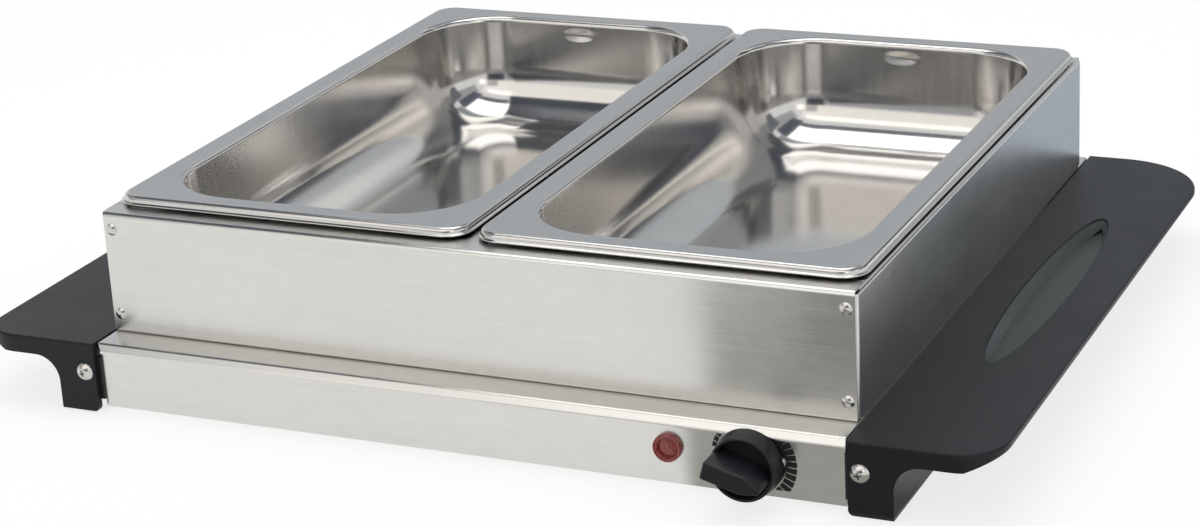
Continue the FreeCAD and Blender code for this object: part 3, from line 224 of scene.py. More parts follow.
def makeBrushed(name, along, bendTop, bendMm):
    # stainless sheet, belt-brushed lengthwise: fine parallel lines that draw reflections out across them
    # bendTop, bendMm: the upright faces that look across the brush turn softly upward over this width
    # below this height, as a pressed edge does
    s = brushedSheet
    material, tree = newMaterial(name)
    place = addNode(tree, "ShaderNodeTexCoord").outputs["Object"]
    line, length = mmPerMetre / s["lineMm"], mmPerMetre / s["lineLengthMm"]
    scale = (length, line, line) if along == "x" else (line, length, line)
    stretched = addNode(tree, "ShaderNodeMapping", {"Scale": scale}, {"Vector": place})
    lines = addNode(tree, "ShaderNodeTexNoise", {"Scale": 1.0, "Detail": 3.0, "Roughness": 0.7},
                    {"Vector": stretched.outputs["Vector"]})
    mottle = addNode(tree, "ShaderNodeTexNoise", {"Scale": mmPerMetre / s["mottleMm"], "Detail": 2.0},
                     {"Vector": place})
    smudge = addNode(tree, "ShaderNodeTexNoise",
                     {"Scale": mmPerMetre / s["smudgeMm"], "Detail": 3.0, "Roughness": 0.5},
                     {"Vector": place})
    patchy = addNode(tree, "ShaderNodeMix", {"data_type": "FLOAT", 0: s["smudgeShare"]},
                     {2: mottle.outputs["Fac"], 3: smudge.outputs["Fac"]})
    mixed = addNode(tree, "ShaderNodeMix", {"data_type": "FLOAT", 0: s["patchShare"]},
                    {2: lines.outputs["Fac"], 3: patchy.outputs[0]})
    first, last = s["spread"]
    colour = addNode(tree, "ShaderNodeValToRGB",
                     {"stops": [(first, linear(s["dark"])), (last, linear(s["pale"]))]},
                     {"Fac": mixed.outputs[0]})
    low, high = s["roughness"]
    rough = addNode(tree, "ShaderNodeMapRange",
                    {"From Min": first, "From Max": last, "To Min": low, "To Max": high},
                    {"Value": mixed.outputs[0]})
    bump = addNode(tree, "ShaderNodeBump",
                   {"Strength": s["bumpStrength"], "Distance": s["bumpMm"] / mmPerMetre},
                   {"Height": lines.outputs["Fac"]})
    facing = addNode(tree, "ShaderNodeNewGeometry").outputs["Normal"]
    outward = addNode(tree, "ShaderNodeSeparateXYZ", links={0: facing})
    broad = addNode(tree, "ShaderNodeMath", {"operation": "ABSOLUTE"},
                    {0: outward.outputs["Y" if along == "x" else "X"]})
    lean = addNode(tree, "ShaderNodeMath", {"operation": "MULTIPLY", 1: s["lean"]}, {0: broad.outputs[0]})
    height = addNode(tree, "ShaderNodeSeparateXYZ", links={0: place})
    nearTop = addNode(tree, "ShaderNodeMapRange",
                      {"interpolation_type": "SMOOTHSTEP", "From Min": bendTop - bendMm / mmPerMetre,
                       "From Max": bendTop - bendMm / (mmPerMetre * s["leanDone"])},
                      {"Value": height.outputs["Z"], "To Max": lean.outputs[0]})
    turned = addNode(tree, "ShaderNodeVectorMath", {"operation": "MULTIPLY_ADD", 1: (0, 0, 1)},
                     {0: nearTop.outputs["Result"], 2: bump.outputs["Normal"]})
    rounded = addNode(tree, "ShaderNodeVectorMath", {"operation": "NORMALIZE"}, {0: turned.outputs["Vector"]})
    # the brush runs level on upright faces, and along the sheet on level ones
    level = addNode(tree, "ShaderNodeVectorMath", {"operation": "CROSS_PRODUCT", 1: (0, 0, 1)}, {0: facing})
    spare = (s["spareFlow"], 0, 0) if along == "x" else (0, s["spareFlow"], 0)
    flow = addNode(tree, "ShaderNodeVectorMath", {"operation": "ADD", 1: spare}, {0: level.outputs["Vector"]})
    shader = addNode(tree, "ShaderNodeBsdfPrincipled",
                     {"Metallic": 1.0, "Anisotropic": s["anisotropy"],
                      "Anisotropic Rotation": s["quarterTurn"]},
                     {"Base Color": colour.outputs["Color"], "Roughness": rough.outputs["Result"],
                      "Normal": rounded.outputs["Vector"], "Tangent": flow.outputs["Vector"]})
    finishMaterial(tree, shader)
    return material


drawnSheet = {
    "pale": "cfcdca", "dark": "c8c6c3", "spread": (0.3, 0.7), "cloudShare": 0.5,
    "drawMm": 2.6, "drawLengthMm": 55, "bumpMm": 0.0009, "bumpStrength": 0.2,
    "waveMm": 34, "waveDepthMm": 0.05, "waveStrength": 0.35, "grainRoughness": 0.03,
    "wall": 0.16, "bend": 0.11, "floor": 0.1, "turns": (0.1, 0.35, 0.95),  # the punch burnishes the bends
    "rim": 0.22, "rimTone": "eef0f1", "rimHeight": 0.0971, "rimFade": 0.0004,
}


def makeDrawn(name):
    # deep-drawn stainless: bright, with faint upright draw marks and a slightly uneven skin
    s = drawnSheet
    material, tree = newMaterial(name)
    place = addNode(tree, "ShaderNodeTexCoord").outputs["Object"]
    draw, length = mmPerMetre / s["drawMm"], mmPerMetre / s["drawLengthMm"]
    stretched = addNode(tree, "ShaderNodeMapping", {"Scale": (draw, draw, length)}, {"Vector": place})
    marks = addNode(tree, "ShaderNodeTexNoise", {"Scale": 1.0, "Detail": 2.0, "Roughness": 0.5},
                    {"Vector": stretched.outputs["Vector"]})
    cloud = addNode(tree, "ShaderNodeTexNoise", {"Scale": mmPerMetre / s["waveMm"], "Detail": 1.0},
                    {"Vector": place})
    mixed = addNode(tree, "ShaderNodeMix", {"data_type": "FLOAT", 0: s["cloudShare"]},
                    {2: marks.outputs["Fac"], 3: cloud.outputs["Fac"]})
    first, last = s["spread"]
    colour = addNode(tree, "ShaderNodeValToRGB",
                     {"stops": [(first, linear(s["dark"])), (last, linear(s["pale"]))]},
                     {"Fac": mixed.outputs[0]})
    normal = addNode(tree, "ShaderNodeNewGeometry").outputs["Normal"]
    facing = addNode(tree, "ShaderNodeSeparateXYZ", links={0: normal})
    greys = [[s[key]] * 3 + [1] for key in ("wall", "bend", "floor")]
    byTurn = addNode(tree, "ShaderNodeValToRGB", {"stops": list(zip(s["turns"], greys))},
                     {"Fac": facing.outputs["Z"]})
    height = addNode(tree, "ShaderNodeSeparateXYZ", links={0: place})
    onRim = addNode(tree, "ShaderNodeMapRange",
                    {"From Min": s["rimHeight"] - s["rimFade"], "From Max": s["rimHeight"]},
                    {"Value": height.outputs["Z"]})
    smooth = addNode(tree, "ShaderNodeMix", {"data_type": "FLOAT", 3: s["rim"]},
                     {0: onRim.outputs["Result"], 2: byTurn.outputs["Color"]})
    # the rim is brushed after drawing, which leaves it a little darker
    toned = addNode(tree, "ShaderNodeMix",
                    {"data_type": "RGBA", "blend_type": "MULTIPLY", 7: linear(s["rimTone"])},
                    {0: onRim.outputs["Result"], 6: colour.outputs["Color"]})
    uneven = addNode(tree, "ShaderNodeMapRange",
                     {"From Min": first, "From Max": last, "To Min": 0.0, "To Max": s["grainRoughness"]},
                     {"Value": mixed.outputs[0]})
    rough = addNode(tree, "ShaderNodeMath", {"operation": "ADD"},
                    {0: smooth.outputs[0], 1: uneven.outputs["Result"]})
    wave = addNode(tree, "ShaderNodeBump",
                   {"Strength": s["waveStrength"], "Distance": s["waveDepthMm"] / mmPerMetre},
                   {"Height": cloud.outputs["Fac"]})
    bump = addNode(tree, "ShaderNodeBump",
                   {"Strength": s["bumpStrength"], "Distance": s["bumpMm"] / mmPerMetre},
                   {"Height": marks.outputs["Fac"], "Normal": wave.outputs["Normal"]})
    shader = addNode(tree, "ShaderNodeBsdfPrincipled", {"Metallic": 1.0},
                     {"Base Color": toned.outputs[2], "Roughness": rough.outputs[0],
                      "Normal": bump.outputs["Normal"]})
    finishMaterial(tree, shader)
    return material


speckle = {
    "blotchMm": 25, "blotchShare": 0.5, "toneSpread": (0.32, 0.68), "roughSpread": (0.3, 0.7),
    "bumpStrength": 0.5,
    "scoopUpward": 0.35,  # faces of a scoop that look up more than this take its paler tone, a painted light
    "scoopFlatten": 0.8,  # share of their sideways lean that is taken away
}


def makeSpeckled(name, pale, dark, roughness, grainMm, bumpMm, metallic=0.0, stretch=(1, 1, 1), specular=0.5,
                 scoop=None):
    # a plain finish in two close tones: broad blotches, and a fine grain that also lifts the skin
    # scoop: height below which a scoop lies, and its paler tone, painted light that stands for the lit floor
    # of the scoop
    s = speckle
    material, tree = newMaterial(name)
    place = addNode(tree, "ShaderNodeTexCoord").outputs["Object"]
    stretched = addNode(tree, "ShaderNodeMapping", {"Scale": stretch}, {"Vector": place})
    grain = addNode(tree, "ShaderNodeTexNoise",
                    {"Scale": mmPerMetre / grainMm, "Detail": 4.0, "Roughness": 0.6},
                    {"Vector": stretched.outputs["Vector"]})
    blotch = addNode(tree, "ShaderNodeTexNoise", {"Scale": mmPerMetre / s["blotchMm"], "Detail": 2.0},
                     {"Vector": place})
    mixed = addNode(tree, "ShaderNodeMix", {"data_type": "FLOAT", 0: s["blotchShare"]},
                    {2: grain.outputs["Fac"], 3: blotch.outputs["Fac"]})
    first, last = s["toneSpread"]
    colour = addNode(tree, "ShaderNodeValToRGB", {"stops": [(first, linear(dark)), (last, linear(pale))]},
                     {"Fac": mixed.outputs[0]})
    low, high = s["roughSpread"]
    rough = addNode(tree, "ShaderNodeMapRange",
                    {"From Min": low, "From Max": high, "To Min": roughness[0], "To Max": roughness[1]},
                    {"Value": mixed.outputs[0]})
    bump = addNode(tree, "ShaderNodeBump",
                   {"Strength": s["bumpStrength"], "Distance": bumpMm / mmPerMetre},
                   {"Height": grain.outputs["Fac"]})
    tone, normal = colour.outputs["Color"], bump.outputs["Normal"]
    if scoop:
        height = addNode(tree, "ShaderNodeSeparateXYZ", links={0: place})
        facing = addNode(tree, "ShaderNodeNewGeometry").outputs["Normal"]
        outward = addNode(tree, "ShaderNodeSeparateXYZ", links={0: facing})
        below = addNode(tree, "ShaderNodeMath", {"operation": "LESS_THAN", 1: scoop[0]},
                        {0: height.outputs["Z"]})
        upward = addNode(tree, "ShaderNodeMath", {"operation": "GREATER_THAN", 1: s["scoopUpward"]},
                         {0: outward.outputs["Z"]})
        inside = addNode(tree, "ShaderNodeMath", {"operation": "MULTIPLY"},
                         {0: below.outputs[0], 1: upward.outputs[0]})
        # painted light: upward faces of the scoop take a paler grey-green, as if lit
        tone = addNode(tree, "ShaderNodeMix", {"data_type": "RGBA", 7: linear(scoop[1])},
                       {0: inside.outputs[0], 6: tone}).outputs[2]
        # the long sides are shaded as if they ran softly into the floor, so that they light like it
        sideways = addNode(tree, "ShaderNodeMath",
                           {"operation": "MULTIPLY_ADD", 1: -s["scoopFlatten"], 2: 1.0},
                           {0: inside.outputs[0]})
        share = addNode(tree, "ShaderNodeCombineXYZ", {"Y": 1.0, "Z": 1.0}, {"X": sideways.outputs[0]})
        tilted = addNode(tree, "ShaderNodeVectorMath", {"operation": "MULTIPLY"},
                         {0: normal, 1: share.outputs["Vector"]})
        normal = addNode(tree, "ShaderNodeVectorMath", {"operation": "NORMALIZE"},
                         {0: tilted.outputs["Vector"]}).outputs["Vector"]
    shader = addNode(tree, "ShaderNodeBsdfPrincipled",
                     {"Metallic": metallic, "Specular IOR Level": specular},
                     {"Base Color": tone, "Roughness": rough.outputs["Result"], "Normal": normal})
    finishMaterial(tree, shader)
    return material


redAcrylic = {
    "bright": "c25a52", "deep": "8a2420", "spread": (0.1, 0.7), "stippleMm": 0.85, "bumpMm": 0.08,
    "bumpStrength": 0.3, "roughness": 0.25, "refraction": 1.49, "clear": 0.15, "gloss": 0.3,
    "glossRoughness": 0.1,
}


def makeAcrylic(name):
    # translucent red acrylic with a finely stippled face, lit only by the room
    s = redAcrylic
    material, tree = newMaterial(name)
    place = addNode(tree, "ShaderNodeTexCoord").outputs["Object"]
    stipple = addNode(tree, "ShaderNodeTexVoronoi", {"Scale": mmPerMetre / s["stippleMm"]}, {"Vector": place})
    first, last = s["spread"]
    colour = addNode(tree, "ShaderNodeValToRGB",
                     {"stops": [(first, linear(s["bright"])), (last, linear(s["deep"]))]},
                     {"Fac": stipple.outputs["Distance"]})
    bump = addNode(tree, "ShaderNodeBump",
                   {"Strength": s["bumpStrength"], "Distance": s["bumpMm"] / mmPerMetre},
                   {"Height": stipple.outputs["Distance"]})
    shader = addNode(tree, "ShaderNodeBsdfPrincipled",
                     {"Roughness": s["roughness"], "IOR": s["refraction"], "Transmission Weight": s["clear"],
                      "Coat Weight": s["gloss"], "Coat Roughness": s["glossRoughness"]},
                     {"Base Color": colour.outputs["Color"], "Normal": bump.outputs["Normal"]})
    finishMaterial(tree, shader)
    return material


rackTop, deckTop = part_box("rack_front_panel")[1].z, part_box("deck")[1].z
rackBendMm, deckBendMm = 2.6, 5.6
finishes = {  # by material slot; the two in camelCase are other looks of a slot's steel, one brushed front to rear, one drawn dark as painted shade
    "rack_steel": makeBrushed("brushedStainlessRack", "x", rackTop, rackBendMm),
    "base_steel": makeBrushed("brushedStainlessBase", "x", deckTop, deckBendMm),
    "rackSteelY": makeBrushed("brushedStainlessSides", "y", rackTop, rackBendMm),
    "pan_steel": makeDrawn("drawnStainlessPan"),
    "lamp_red": makeAcrylic("mouldedRedAcrylic"),
}

scoopStart = 0.001  # a scoop takes its paler tone, painted light, this far below the top of its grip
scoop = (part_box("right_grip")[1].z - scoopStart, "454c4c")
metal, dustyMetal = {"metallic": 1.0}, {"metallic": 0.8}
rolled = {"metallic": 1.0, "stretch": (1, 0.05, 1)}
gripLook, knobLook = {"specular": 0.26, "scoop": scoop}, {"specular": 0.32}
speckled = {  # finish: name, pale and dark tone, lowest and highest roughness, grain mm, bump mm, the rest
    # zinc plate: soft grey shine
    "plated_steel": ("zincPlatedSteel", "b9bcc0", "9a9da2", (0.3, 0.45), 1.2, 0.01, metal),
    # nickel plate: warm and near mirror-bright
    "fastener_steel": ("brightNickelPlate", "d6d4d0", "c2c0bc", (0.14, 0.24), 0.6, 0.004, metal),
    # moulded phenolic: black with a blue cast and a fine, half-dull skin
    "grip_plastic": ("mouldedPhenolic", "1d2025", "171a1e", (0.36, 0.46), 0.45, 0.03, gripLook),
    "knob_plastic": ("mouldedPhenolicKnob", "22252a", "1b1e23", (0.3, 0.42), 0.35, 0.02, knobLook),
    # blackened steel: dark, with a dull sheen
    # painted shade: the zinc-plated brackets drawn dark, with a dull sheen, as they look in the shaded gap
    # beside the grips
    "paintedShadeSteel": ("paintedShadeSteel", "202225", "17191b", (0.4, 0.55), 0.8, 0.01, {}),
    # screen-printed ink: flat black
    "scale_ink": ("screenPrintInk", "191a1b", "101112", (0.5, 0.65), 0.3, 0.01, {}),
    # moulded rubber: dead black, hardly a shine
    "foot_rubber": ("mouldedRubber", "232323", "171717", (0.6, 0.8), 0.8, 0.04, {}),
    # rolled aluminium: pale, with faint lines from the rolls
    "aluminium_sheet": ("rolledAluminium", "cfd0d2", "b5b6b8", (0.25, 0.4), 0.5, 0.008, rolled),
    # oxidised tube: brown-black and dusty
    "element_sheath": ("oxidisedSheath", "3f3b38", "272422", (0.45, 0.7), 0.8, 0.02, dustyMetal),
    # fired steatite: cream, faintly glossy
    "ceramic": ("firedSteatite", "e2ddd0", "cfc8b8", (0.35, 0.5), 0.7, 0.02, {}),
    # mineral wool: yellow-grey fluff without any shine
    "mineral_mat": ("mineralWoolMat", "d9d5c4", "a9a390", (0.85, 0.98), 1.1, 0.5, {}),
    # moulded nylon: grey-black with a soft shine
    "black_nylon": ("mouldedNylon", "242526", "1a1b1c", (0.45, 0.6), 0.5, 0.02, {}),
    # turned brass: yellow and bright
    "brass_parts": ("turnedBrass", "c8a45a", "a58440", (0.22, 0.38), 0.7, 0.01, metal),
    # extruded wire insulation: even colour, satin
    "brown_wire": ("extrudedBrownInsulation", "5d3a22", "482a17", (0.4, 0.55), 0.6, 0.01, {}),
    "blue_wire": ("extrudedBlueInsulation", "2d58a6", "234785", (0.4, 0.55), 0.6, 0.01, {}),
}
for finish, (name, pale, dark, roughness, grainMm, bumpMm, rest) in speckled.items():
    finishes[finish] = makeSpeckled(name, pale, dark, roughness, grainMm, bumpMm, **rest)
alongY = ("rack_left_panel", "rack_right_panel", "rack_centre_rail")  # sheets brushed from front to rear


def dress(piece, finish):
    piece.data.materials.clear()
    piece.data.materials.append(finishes[finish])


for part in frame["record"]["subparts"]:
    finish = "rackSteelY" if part["node"] in alongY else part["material_slot"]
    # painted shade: the brackets, seen only in the gap beside the grips, are drawn dark in place of their
    # zinc plate
    dress(nodes[part["node"]], "paintedShadeSteel" if part["node"].startswith("bracket_") else finish)
print("finishes set:", len(finishes))


panShape = {
    "innerX": 0.0017, "outerX": 0.182, "frontY": -0.1645, "rearY": 0.1725,  # about the middle of the rack
    "top": 0.0977, "sheet": 0.0008, "rim": 0.014, "depth": 0.055, "draft": math.radians(4),
    "rimCorner": 0.012, "mouthCorner": 0.038,
    "rimRound": 0.0024, "mouthRound": 0.003, "roundSteps": 7, "floorRound": 0.029, "floorSteps": 14,
    "lip": (  # inset and height of the small bead under the rim
        (0.0006, 0.09395), (0.0003, 0.09395), (0.0001, 0.09403), (0.0, 0.09420), (0.00004, 0.09442),
        (0.0002, 0.0946), (0.0005, 0.0947), (0.0009, 0.0948), (0.00115, 0.09498),
    ),
    "lipInset": 0.0012, "cornerSteps": 14,
    "support": 0.0002,  # rings this near to each bend keep its shading off the flats
    "wideSupport": 3,  # and this many times further off beside the bend at the floor
    "spread": 0.01,  # the rings are bridged this far apart, so that flat ones bridge too
    "smoothAngle": 40,
}
levelMark = {  # the small pressed dent under the rim at the middle of the rear wall
    "across": 0.0115, "tall": 0.0042, "height": 0.0899, "deep": 0.0007, "cuts": 26,
    "sideMargin": 1.3, "heightMargin": 1.2, "wallFacing": -0.98, "wallNear": 0.004, "wallLow": 0.07,
    "wallHigh": 0.0945,
}


def panProfile(s):
    # inset from the rim edge, height and corner radius of each ring, from the bead under the rim to the floor
    rings = [(inset, level, s["rimCorner"] - inset) for inset, level in s["lip"]]
    edge = s["lipInset"]
    low = s["top"] - s["rimRound"]
    rings.append((edge, low - s["support"], s["rimCorner"] - edge))
    steps = s["roundSteps"]
    for step in range(steps + 1):
        turn = math.radians(90 * step / steps)
        inset = edge + s["rimRound"] * (1 - math.cos(turn))
        rings.append((inset, low + s["rimRound"] * math.sin(turn), s["rimCorner"] - inset))
    inset = edge + s["rimRound"] + s["support"]
    rings.append((inset, s["top"], s["rimCorner"] - inset))
    bendAngle = math.pi / 2 - s["draft"]  # from the flat rim to the wall, and from the wall to the floor
    wall = (math.sin(s["draft"]), -math.cos(s["draft"]))

    def corner(inset):
        return s["mouthCorner"] + s["rim"] - inset

    tangent = s["mouthRound"] * math.tan(bendAngle / 2)
    start = s["rim"] - tangent
    rings.append((start - s["support"], s["top"], corner(start - s["support"])))
    for step in range(steps + 1):
        turn = bendAngle * step / steps
        inset = start + s["mouthRound"] * math.sin(turn)
        rings.append((inset, s["top"] - s["mouthRound"] * (1 - math.cos(turn)), corner(inset)))
    inset, level = rings[-1][:2]
    rings.append((inset + wall[0] * s["support"], level + wall[1] * s["support"], corner(inset)))
    foot = s["rim"] + s["depth"] * math.tan(s["draft"])
    floor = s["top"] - s["depth"]
    tangent = s["floorRound"] * math.tan(bendAngle / 2)
    inset, level = foot - wall[0] * tangent, floor - wall[1] * tangent
    wide = s["support"] * s["wideSupport"]
    rings.append((inset - wall[0] * wide, level - wall[1] * wide, corner(inset)))
    centre = (foot + tangent, floor + s["floorRound"])
    steps = s["floorSteps"]
    for step in range(steps + 1):
        turn = s["draft"] + bendAngle * step / steps
        inset = centre[0] - s["floorRound"] * math.cos(turn)
        rings.append((inset, centre[1] - s["floorRound"] * math.sin(turn), corner(inset)))
    inset = foot + tangent + wide
    rings.append((inset, floor, corner(inset)))
    return rings


def addRing(x, y, level, corner, steps):
    bpy.ops.mesh.primitive_plane_add(size=1, location=((x[0] + x[1]) / 2, (y[0] + y[1]) / 2, level))
    ring = bpy.context.active_object
    ring.scale = (x[1] - x[0], y[1] - y[0], 1)
    bakePlace(ring)
    startEdit(ring, "VERT", every)
    bpy.ops.mesh.bevel(offset=corner, offset_type="OFFSET", affect="VERTICES", segments=steps)
    bpy.ops.mesh.delete(type="ONLY_FACE")
    endEdit()
    return ring


def bridgeOn(piece, ring, size):
    # join the next ring to a piece and bridge it to the ring before it
    first = len(piece.data.vertices) - size
    joinPieces([piece, ring], piece.name)
    startEdit(piece, "EDGE", lambda a, b: False)
    endEdit()
    mesh = piece.data
    for edge in mesh.edges:
        a, b = edge.vertices
        edge.select = a >= first and b >= first and (a < first + size) == (b < first + size)
    bpy.ops.object.mode_set(mode="EDIT")
    bpy.ops.mesh.select_mode(type="EDGE")
    bpy.ops.mesh.bridge_edge_loops()
    endEdit()


def pressMark(pan, s, mark):
    # cut the wall finely where the level mark lies, then press it in
    middle = (s["innerX"] + s["outerX"]) / 2
    wallY = s["rearY"] + rackShift - s["rim"] - (s["top"] - mark["height"]) * math.tan(s["draft"])

    def onWall(place, normal):
        return (normal.y < mark["wallFacing"] and abs(place.y - wallY) < mark["wallNear"]
                and mark["wallLow"] < place.z < mark["wallHigh"])

    def onMark(place, normal):
        return (onWall(place, normal) and abs(place.x - middle) < mark["across"]
                and abs(place.z - mark["height"]) < mark["tall"])

    aside, above = mark["across"] * mark["sideMargin"], mark["tall"] * mark["heightMargin"]
    for plane, facing in (((middle - aside, 0, 0), (1, 0, 0)), ((middle + aside, 0, 0), (1, 0, 0)),
                          ((0, 0, mark["height"] - above), (0, 0, 1)),
                          ((0, 0, mark["height"] + above), (0, 0, 1))):
        startEdit(pan, "FACE", onWall)
        bpy.ops.mesh.bisect(plane_co=plane, plane_no=facing)
        endEdit()
    startEdit(pan, "FACE", onMark)
    bpy.ops.mesh.subdivide(number_cuts=mark["cuts"])
    endEdit()
    for vert in pan.data.vertices:
        if abs(vert.co.y - wallY) > mark["wallNear"]:
            continue
        acrossShare = (vert.co.x - middle) / mark["across"]
        tallShare = (vert.co.z - mark["height"]) / mark["tall"]
        away = acrossShare ** 2 + tallShare ** 2
        if away < 1:
            vert.co.y += mark["deep"] * (1 - away) ** 2


def makePan(name):
    # bright pan with a flat rim, bridged ring by ring, then given the thickness of its sheet
    s = panShape
    profile = panProfile(s)
    pan = None
    for index, (inset, level, corner) in enumerate(profile):
        ring = addRing((s["innerX"] + inset, s["outerX"] - inset),
                       (s["frontY"] + rackShift + inset, s["rearY"] + rackShift - inset),
                       s["top"] - s["spread"] * index, corner, s["cornerSteps"])
        if pan is None:
            pan = ring
            pan.name = name
            size = len(ring.data.vertices)
        else:
            bridgeOn(pan, ring, size)
    mesh = pan.data
    for index, (inset, level, corner) in enumerate(profile):  # then each ring to its level
        for vert in mesh.vertices[index * size:(index + 1) * size]:
            vert.co.z = level
    lowest = len(mesh.vertices) - size
    for vert in mesh.vertices:
        vert.select = vert.index >= lowest
    bpy.ops.object.mode_set(mode="EDIT")
    bpy.ops.mesh.select_mode(type="VERT")
    bpy.ops.mesh.edge_face_add()
    bpy.ops.mesh.select_all(action="SELECT")
    bpy.ops.mesh.normals_make_consistent(inside=False)
    endEdit()
    floorFace = max(mesh.polygons, key=lambda face: len(face.vertices))
    if floorFace.normal.z < 0:
        flipFaces(pan)
    pressMark(pan, s, levelMark)
    applyModifier(pan, "SOLIDIFY", thickness=s["sheet"], offset=-1, use_even_offset=True)
    shadeSmooth(pan, s["smoothAngle"])
    return pan


rightPan = makePan("rightPan")
leftPan = copyPiece(rightPan, "leftPan")
leftPan.scale = (-1, 1, 1)
bakePlace(leftPan)
flipFaces(leftPan)
for pan, node in ((leftPan, "left_pan"), (rightPan, "right_pan")):
    dress(pan, "pan_steel")
    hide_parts(node)
    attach(pan, node)
print("pans drawn:", len(rightPan.data.polygons), "faces each")


def halfway(box, axis):
    return (box[0][axis] + box[1][axis]) / 2


knobShape = {
    "backRadius": 0.0153, "frontRadius": 0.0144, "sides": 96, "back": 0.0015, "drum": 0.0095,
    "ring": 0.0014, "recess": 0.005, "recessTaper": 0.97, "edge": 0.0006, "edgeSteps": 4,
    "reach": 0.023, "barHalf": 0.0042, "barStraight": 0.005, "barTip": 0.0128, "tipWidth": 0.3,
    "barEdge": 0.0011, "barSteps": 5, "barSunk": 0.001,
    "heelGap": 0.0002, "weld": 0.00001,  # the bar stops short of the drum's edge; points nearer are merged
    "tilt": math.radians(16), "smoothAngle": 35,
}


def makeKnob(name):
    # a drum with a dished face, and a pointer bar across it; drawn facing up, then turned to face the front
    s = knobShape
    front = s["back"] + s["drum"]
    drum = addCylinder(s["sides"], s["backRadius"], s["drum"], s["back"] + s["drum"] / 2)
    startEdit(drum, "FACE", facesUp)
    shrink = s["frontRadius"] / s["backRadius"]
    resize(shrink, shrink)
    bpy.ops.mesh.inset(thickness=s["ring"])
    extrude(0, 0, -s["recess"])
    resize(s["recessTaper"], s["recessTaper"])
    endEdit()
    startEdit(drum, "EDGE", levelEdgesFrom(front))
    bpy.ops.mesh.bevel(offset=s["edge"], segments=s["edgeSteps"], profile=0.5)
    endEdit()
    face = front - s["recess"]
    heel = s["heelGap"] - math.sqrt(s["frontRadius"] ** 2 - s["barHalf"] ** 2)
    bar = addBlock((s["barStraight"] - heel, 2 * s["barHalf"], s["reach"] - face + s["barSunk"]),
                   ((heel + s["barStraight"]) / 2, 0, (face + s["reach"]) / 2 - s["barSunk"] / 2))
    startEdit(bar, "FACE", lambda centre, normal: normal.x > 0.9)
    extrude(s["barTip"] - s["barStraight"], 0, 0)
    resize(1, s["tipWidth"])  # the blunt point of the bar
    endEdit()
    startEdit(bar, "EDGE", lambda a, b: max(a.z, b.z) > face + s["barSunk"])
    bpy.ops.mesh.bevel(offset=s["barEdge"], segments=s["barSteps"], profile=0.5)
    endEdit()
    mergeAndFaceOut(bar, s["weld"])
    knob = joinPieces([drum, bar], name)
    shadeSmooth(knob, s["smoothAngle"])
    knob.rotation_euler = (math.pi / 2, s["tilt"], 0)
    return bakePlace(knob)


knobBox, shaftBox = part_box("control_knob"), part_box("thermostat_shaft")
panelFace = knobBox[0][1] + knobShape["reach"]
knob = makeKnob("controlKnob")
knob.location = (halfway(shaftBox, 0), panelFace, halfway(shaftBox, 2))
bakePlace(knob)
dress(knob, "knob_plastic")
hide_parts("control_knob")
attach(knob, "control")
print("knob drawn")


lensShape = {
    "radius": 0.0064, "sides": 72, "proud": 0.0020, "seat": 0.0026, "stem": 0.005,
    "dish": 0.0047, "dishDepth": 0.0012, "dishTaper": 0.88, "edge": 0.0005, "edgeSteps": 5,
    "crown": 0.0005, "crownSteps": 4, "crownInset": 0.18, "crownFall": 2.5, "smoothAngle": 40,
}


def makeLens():
    # a moulded cap: rounded ring, dished face with a slight crown; drawn facing up, then turned to the front
    # it keeps the name of the cylinder that it is drawn from
    s = lensShape
    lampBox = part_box("lamp_lens")
    lens = addCylinder(s["sides"], s["radius"], s["proud"], s["proud"] / 2)
    startEdit(lens, "FACE", facesUp)
    bpy.ops.mesh.inset(thickness=s["radius"] - s["dish"])
    extrude(0, 0, -s["dishDepth"])
    resize(s["dishTaper"], s["dishTaper"])
    for step in range(1, s["crownSteps"] + 1):
        bpy.ops.mesh.inset(thickness=s["dish"] * s["crownInset"])
        bpy.ops.transform.translate(value=(0, 0, s["crown"] / step / s["crownFall"]))
    endEdit()
    startEdit(lens, "EDGE", levelEdgesFrom(s["proud"]))
    bpy.ops.mesh.bevel(offset=s["edge"], segments=s["edgeSteps"], profile=0.5)
    endEdit()
    startEdit(lens, "FACE", facesDown)  # the stem that goes through the panel
    bpy.ops.mesh.inset(thickness=s["radius"] - s["stem"])
    extrude(0, 0, s["seat"] - (lampBox[1][1] - lampBox[0][1]))
    endEdit()
    shadeSmooth(lens, s["smoothAngle"])
    lens.rotation_euler = (math.pi / 2, 0, 0)
    lens.location = (halfway(lampBox, 0), lampBox[0][1] + s["seat"], halfway(lampBox, 2))
    return bakePlace(lens)


lens = makeLens()
dress(lens, "lamp_red")
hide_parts("lamp_lens")
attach(lens, "base")
print("lamp lens drawn")


def makeDome(name, radius, dome, rings, sides=48, band=0.12):
    # a low round head on a short straight band, drawn facing up with its seat at zero
    bpy.ops.mesh.primitive_circle_add(vertices=sides, radius=radius, fill_type="NGON")
    head = bakePlace(bpy.context.active_object)
    head.name = name
    startEdit(head, "FACE", every)
    extrude(0, 0, dome * band)
    sphere = (radius * radius + dome * dome) / (2 * dome)
    level, width = 0.0, radius
    for step in range(1, rings):
        turn = math.asin(radius / sphere) * (1 - step / rings)
        newWidth = sphere * math.sin(turn)
        newLevel = (dome - sphere * (1 - math.cos(turn))) * (1 - band)
        bpy.ops.mesh.inset(thickness=width - newWidth, use_even_offset=False)
        bpy.ops.transform.translate(value=(0, 0, newLevel - level))
        level, width = newLevel, newWidth
    endEdit()
    return head


fixingWeld = 0.000001  # points of a screw or rivet head nearer than this are merged
screwShape = {
    "radius": 0.0044, "dome": 0.0026, "rings": 7, "arm": 0.0022, "slot": 0.0011, "deep": 0.0017,
    "slotTaper": 0.45, "shank": 0.002, "shankSides": 24, "length": 0.0066, "smoothAngle": 32,
}


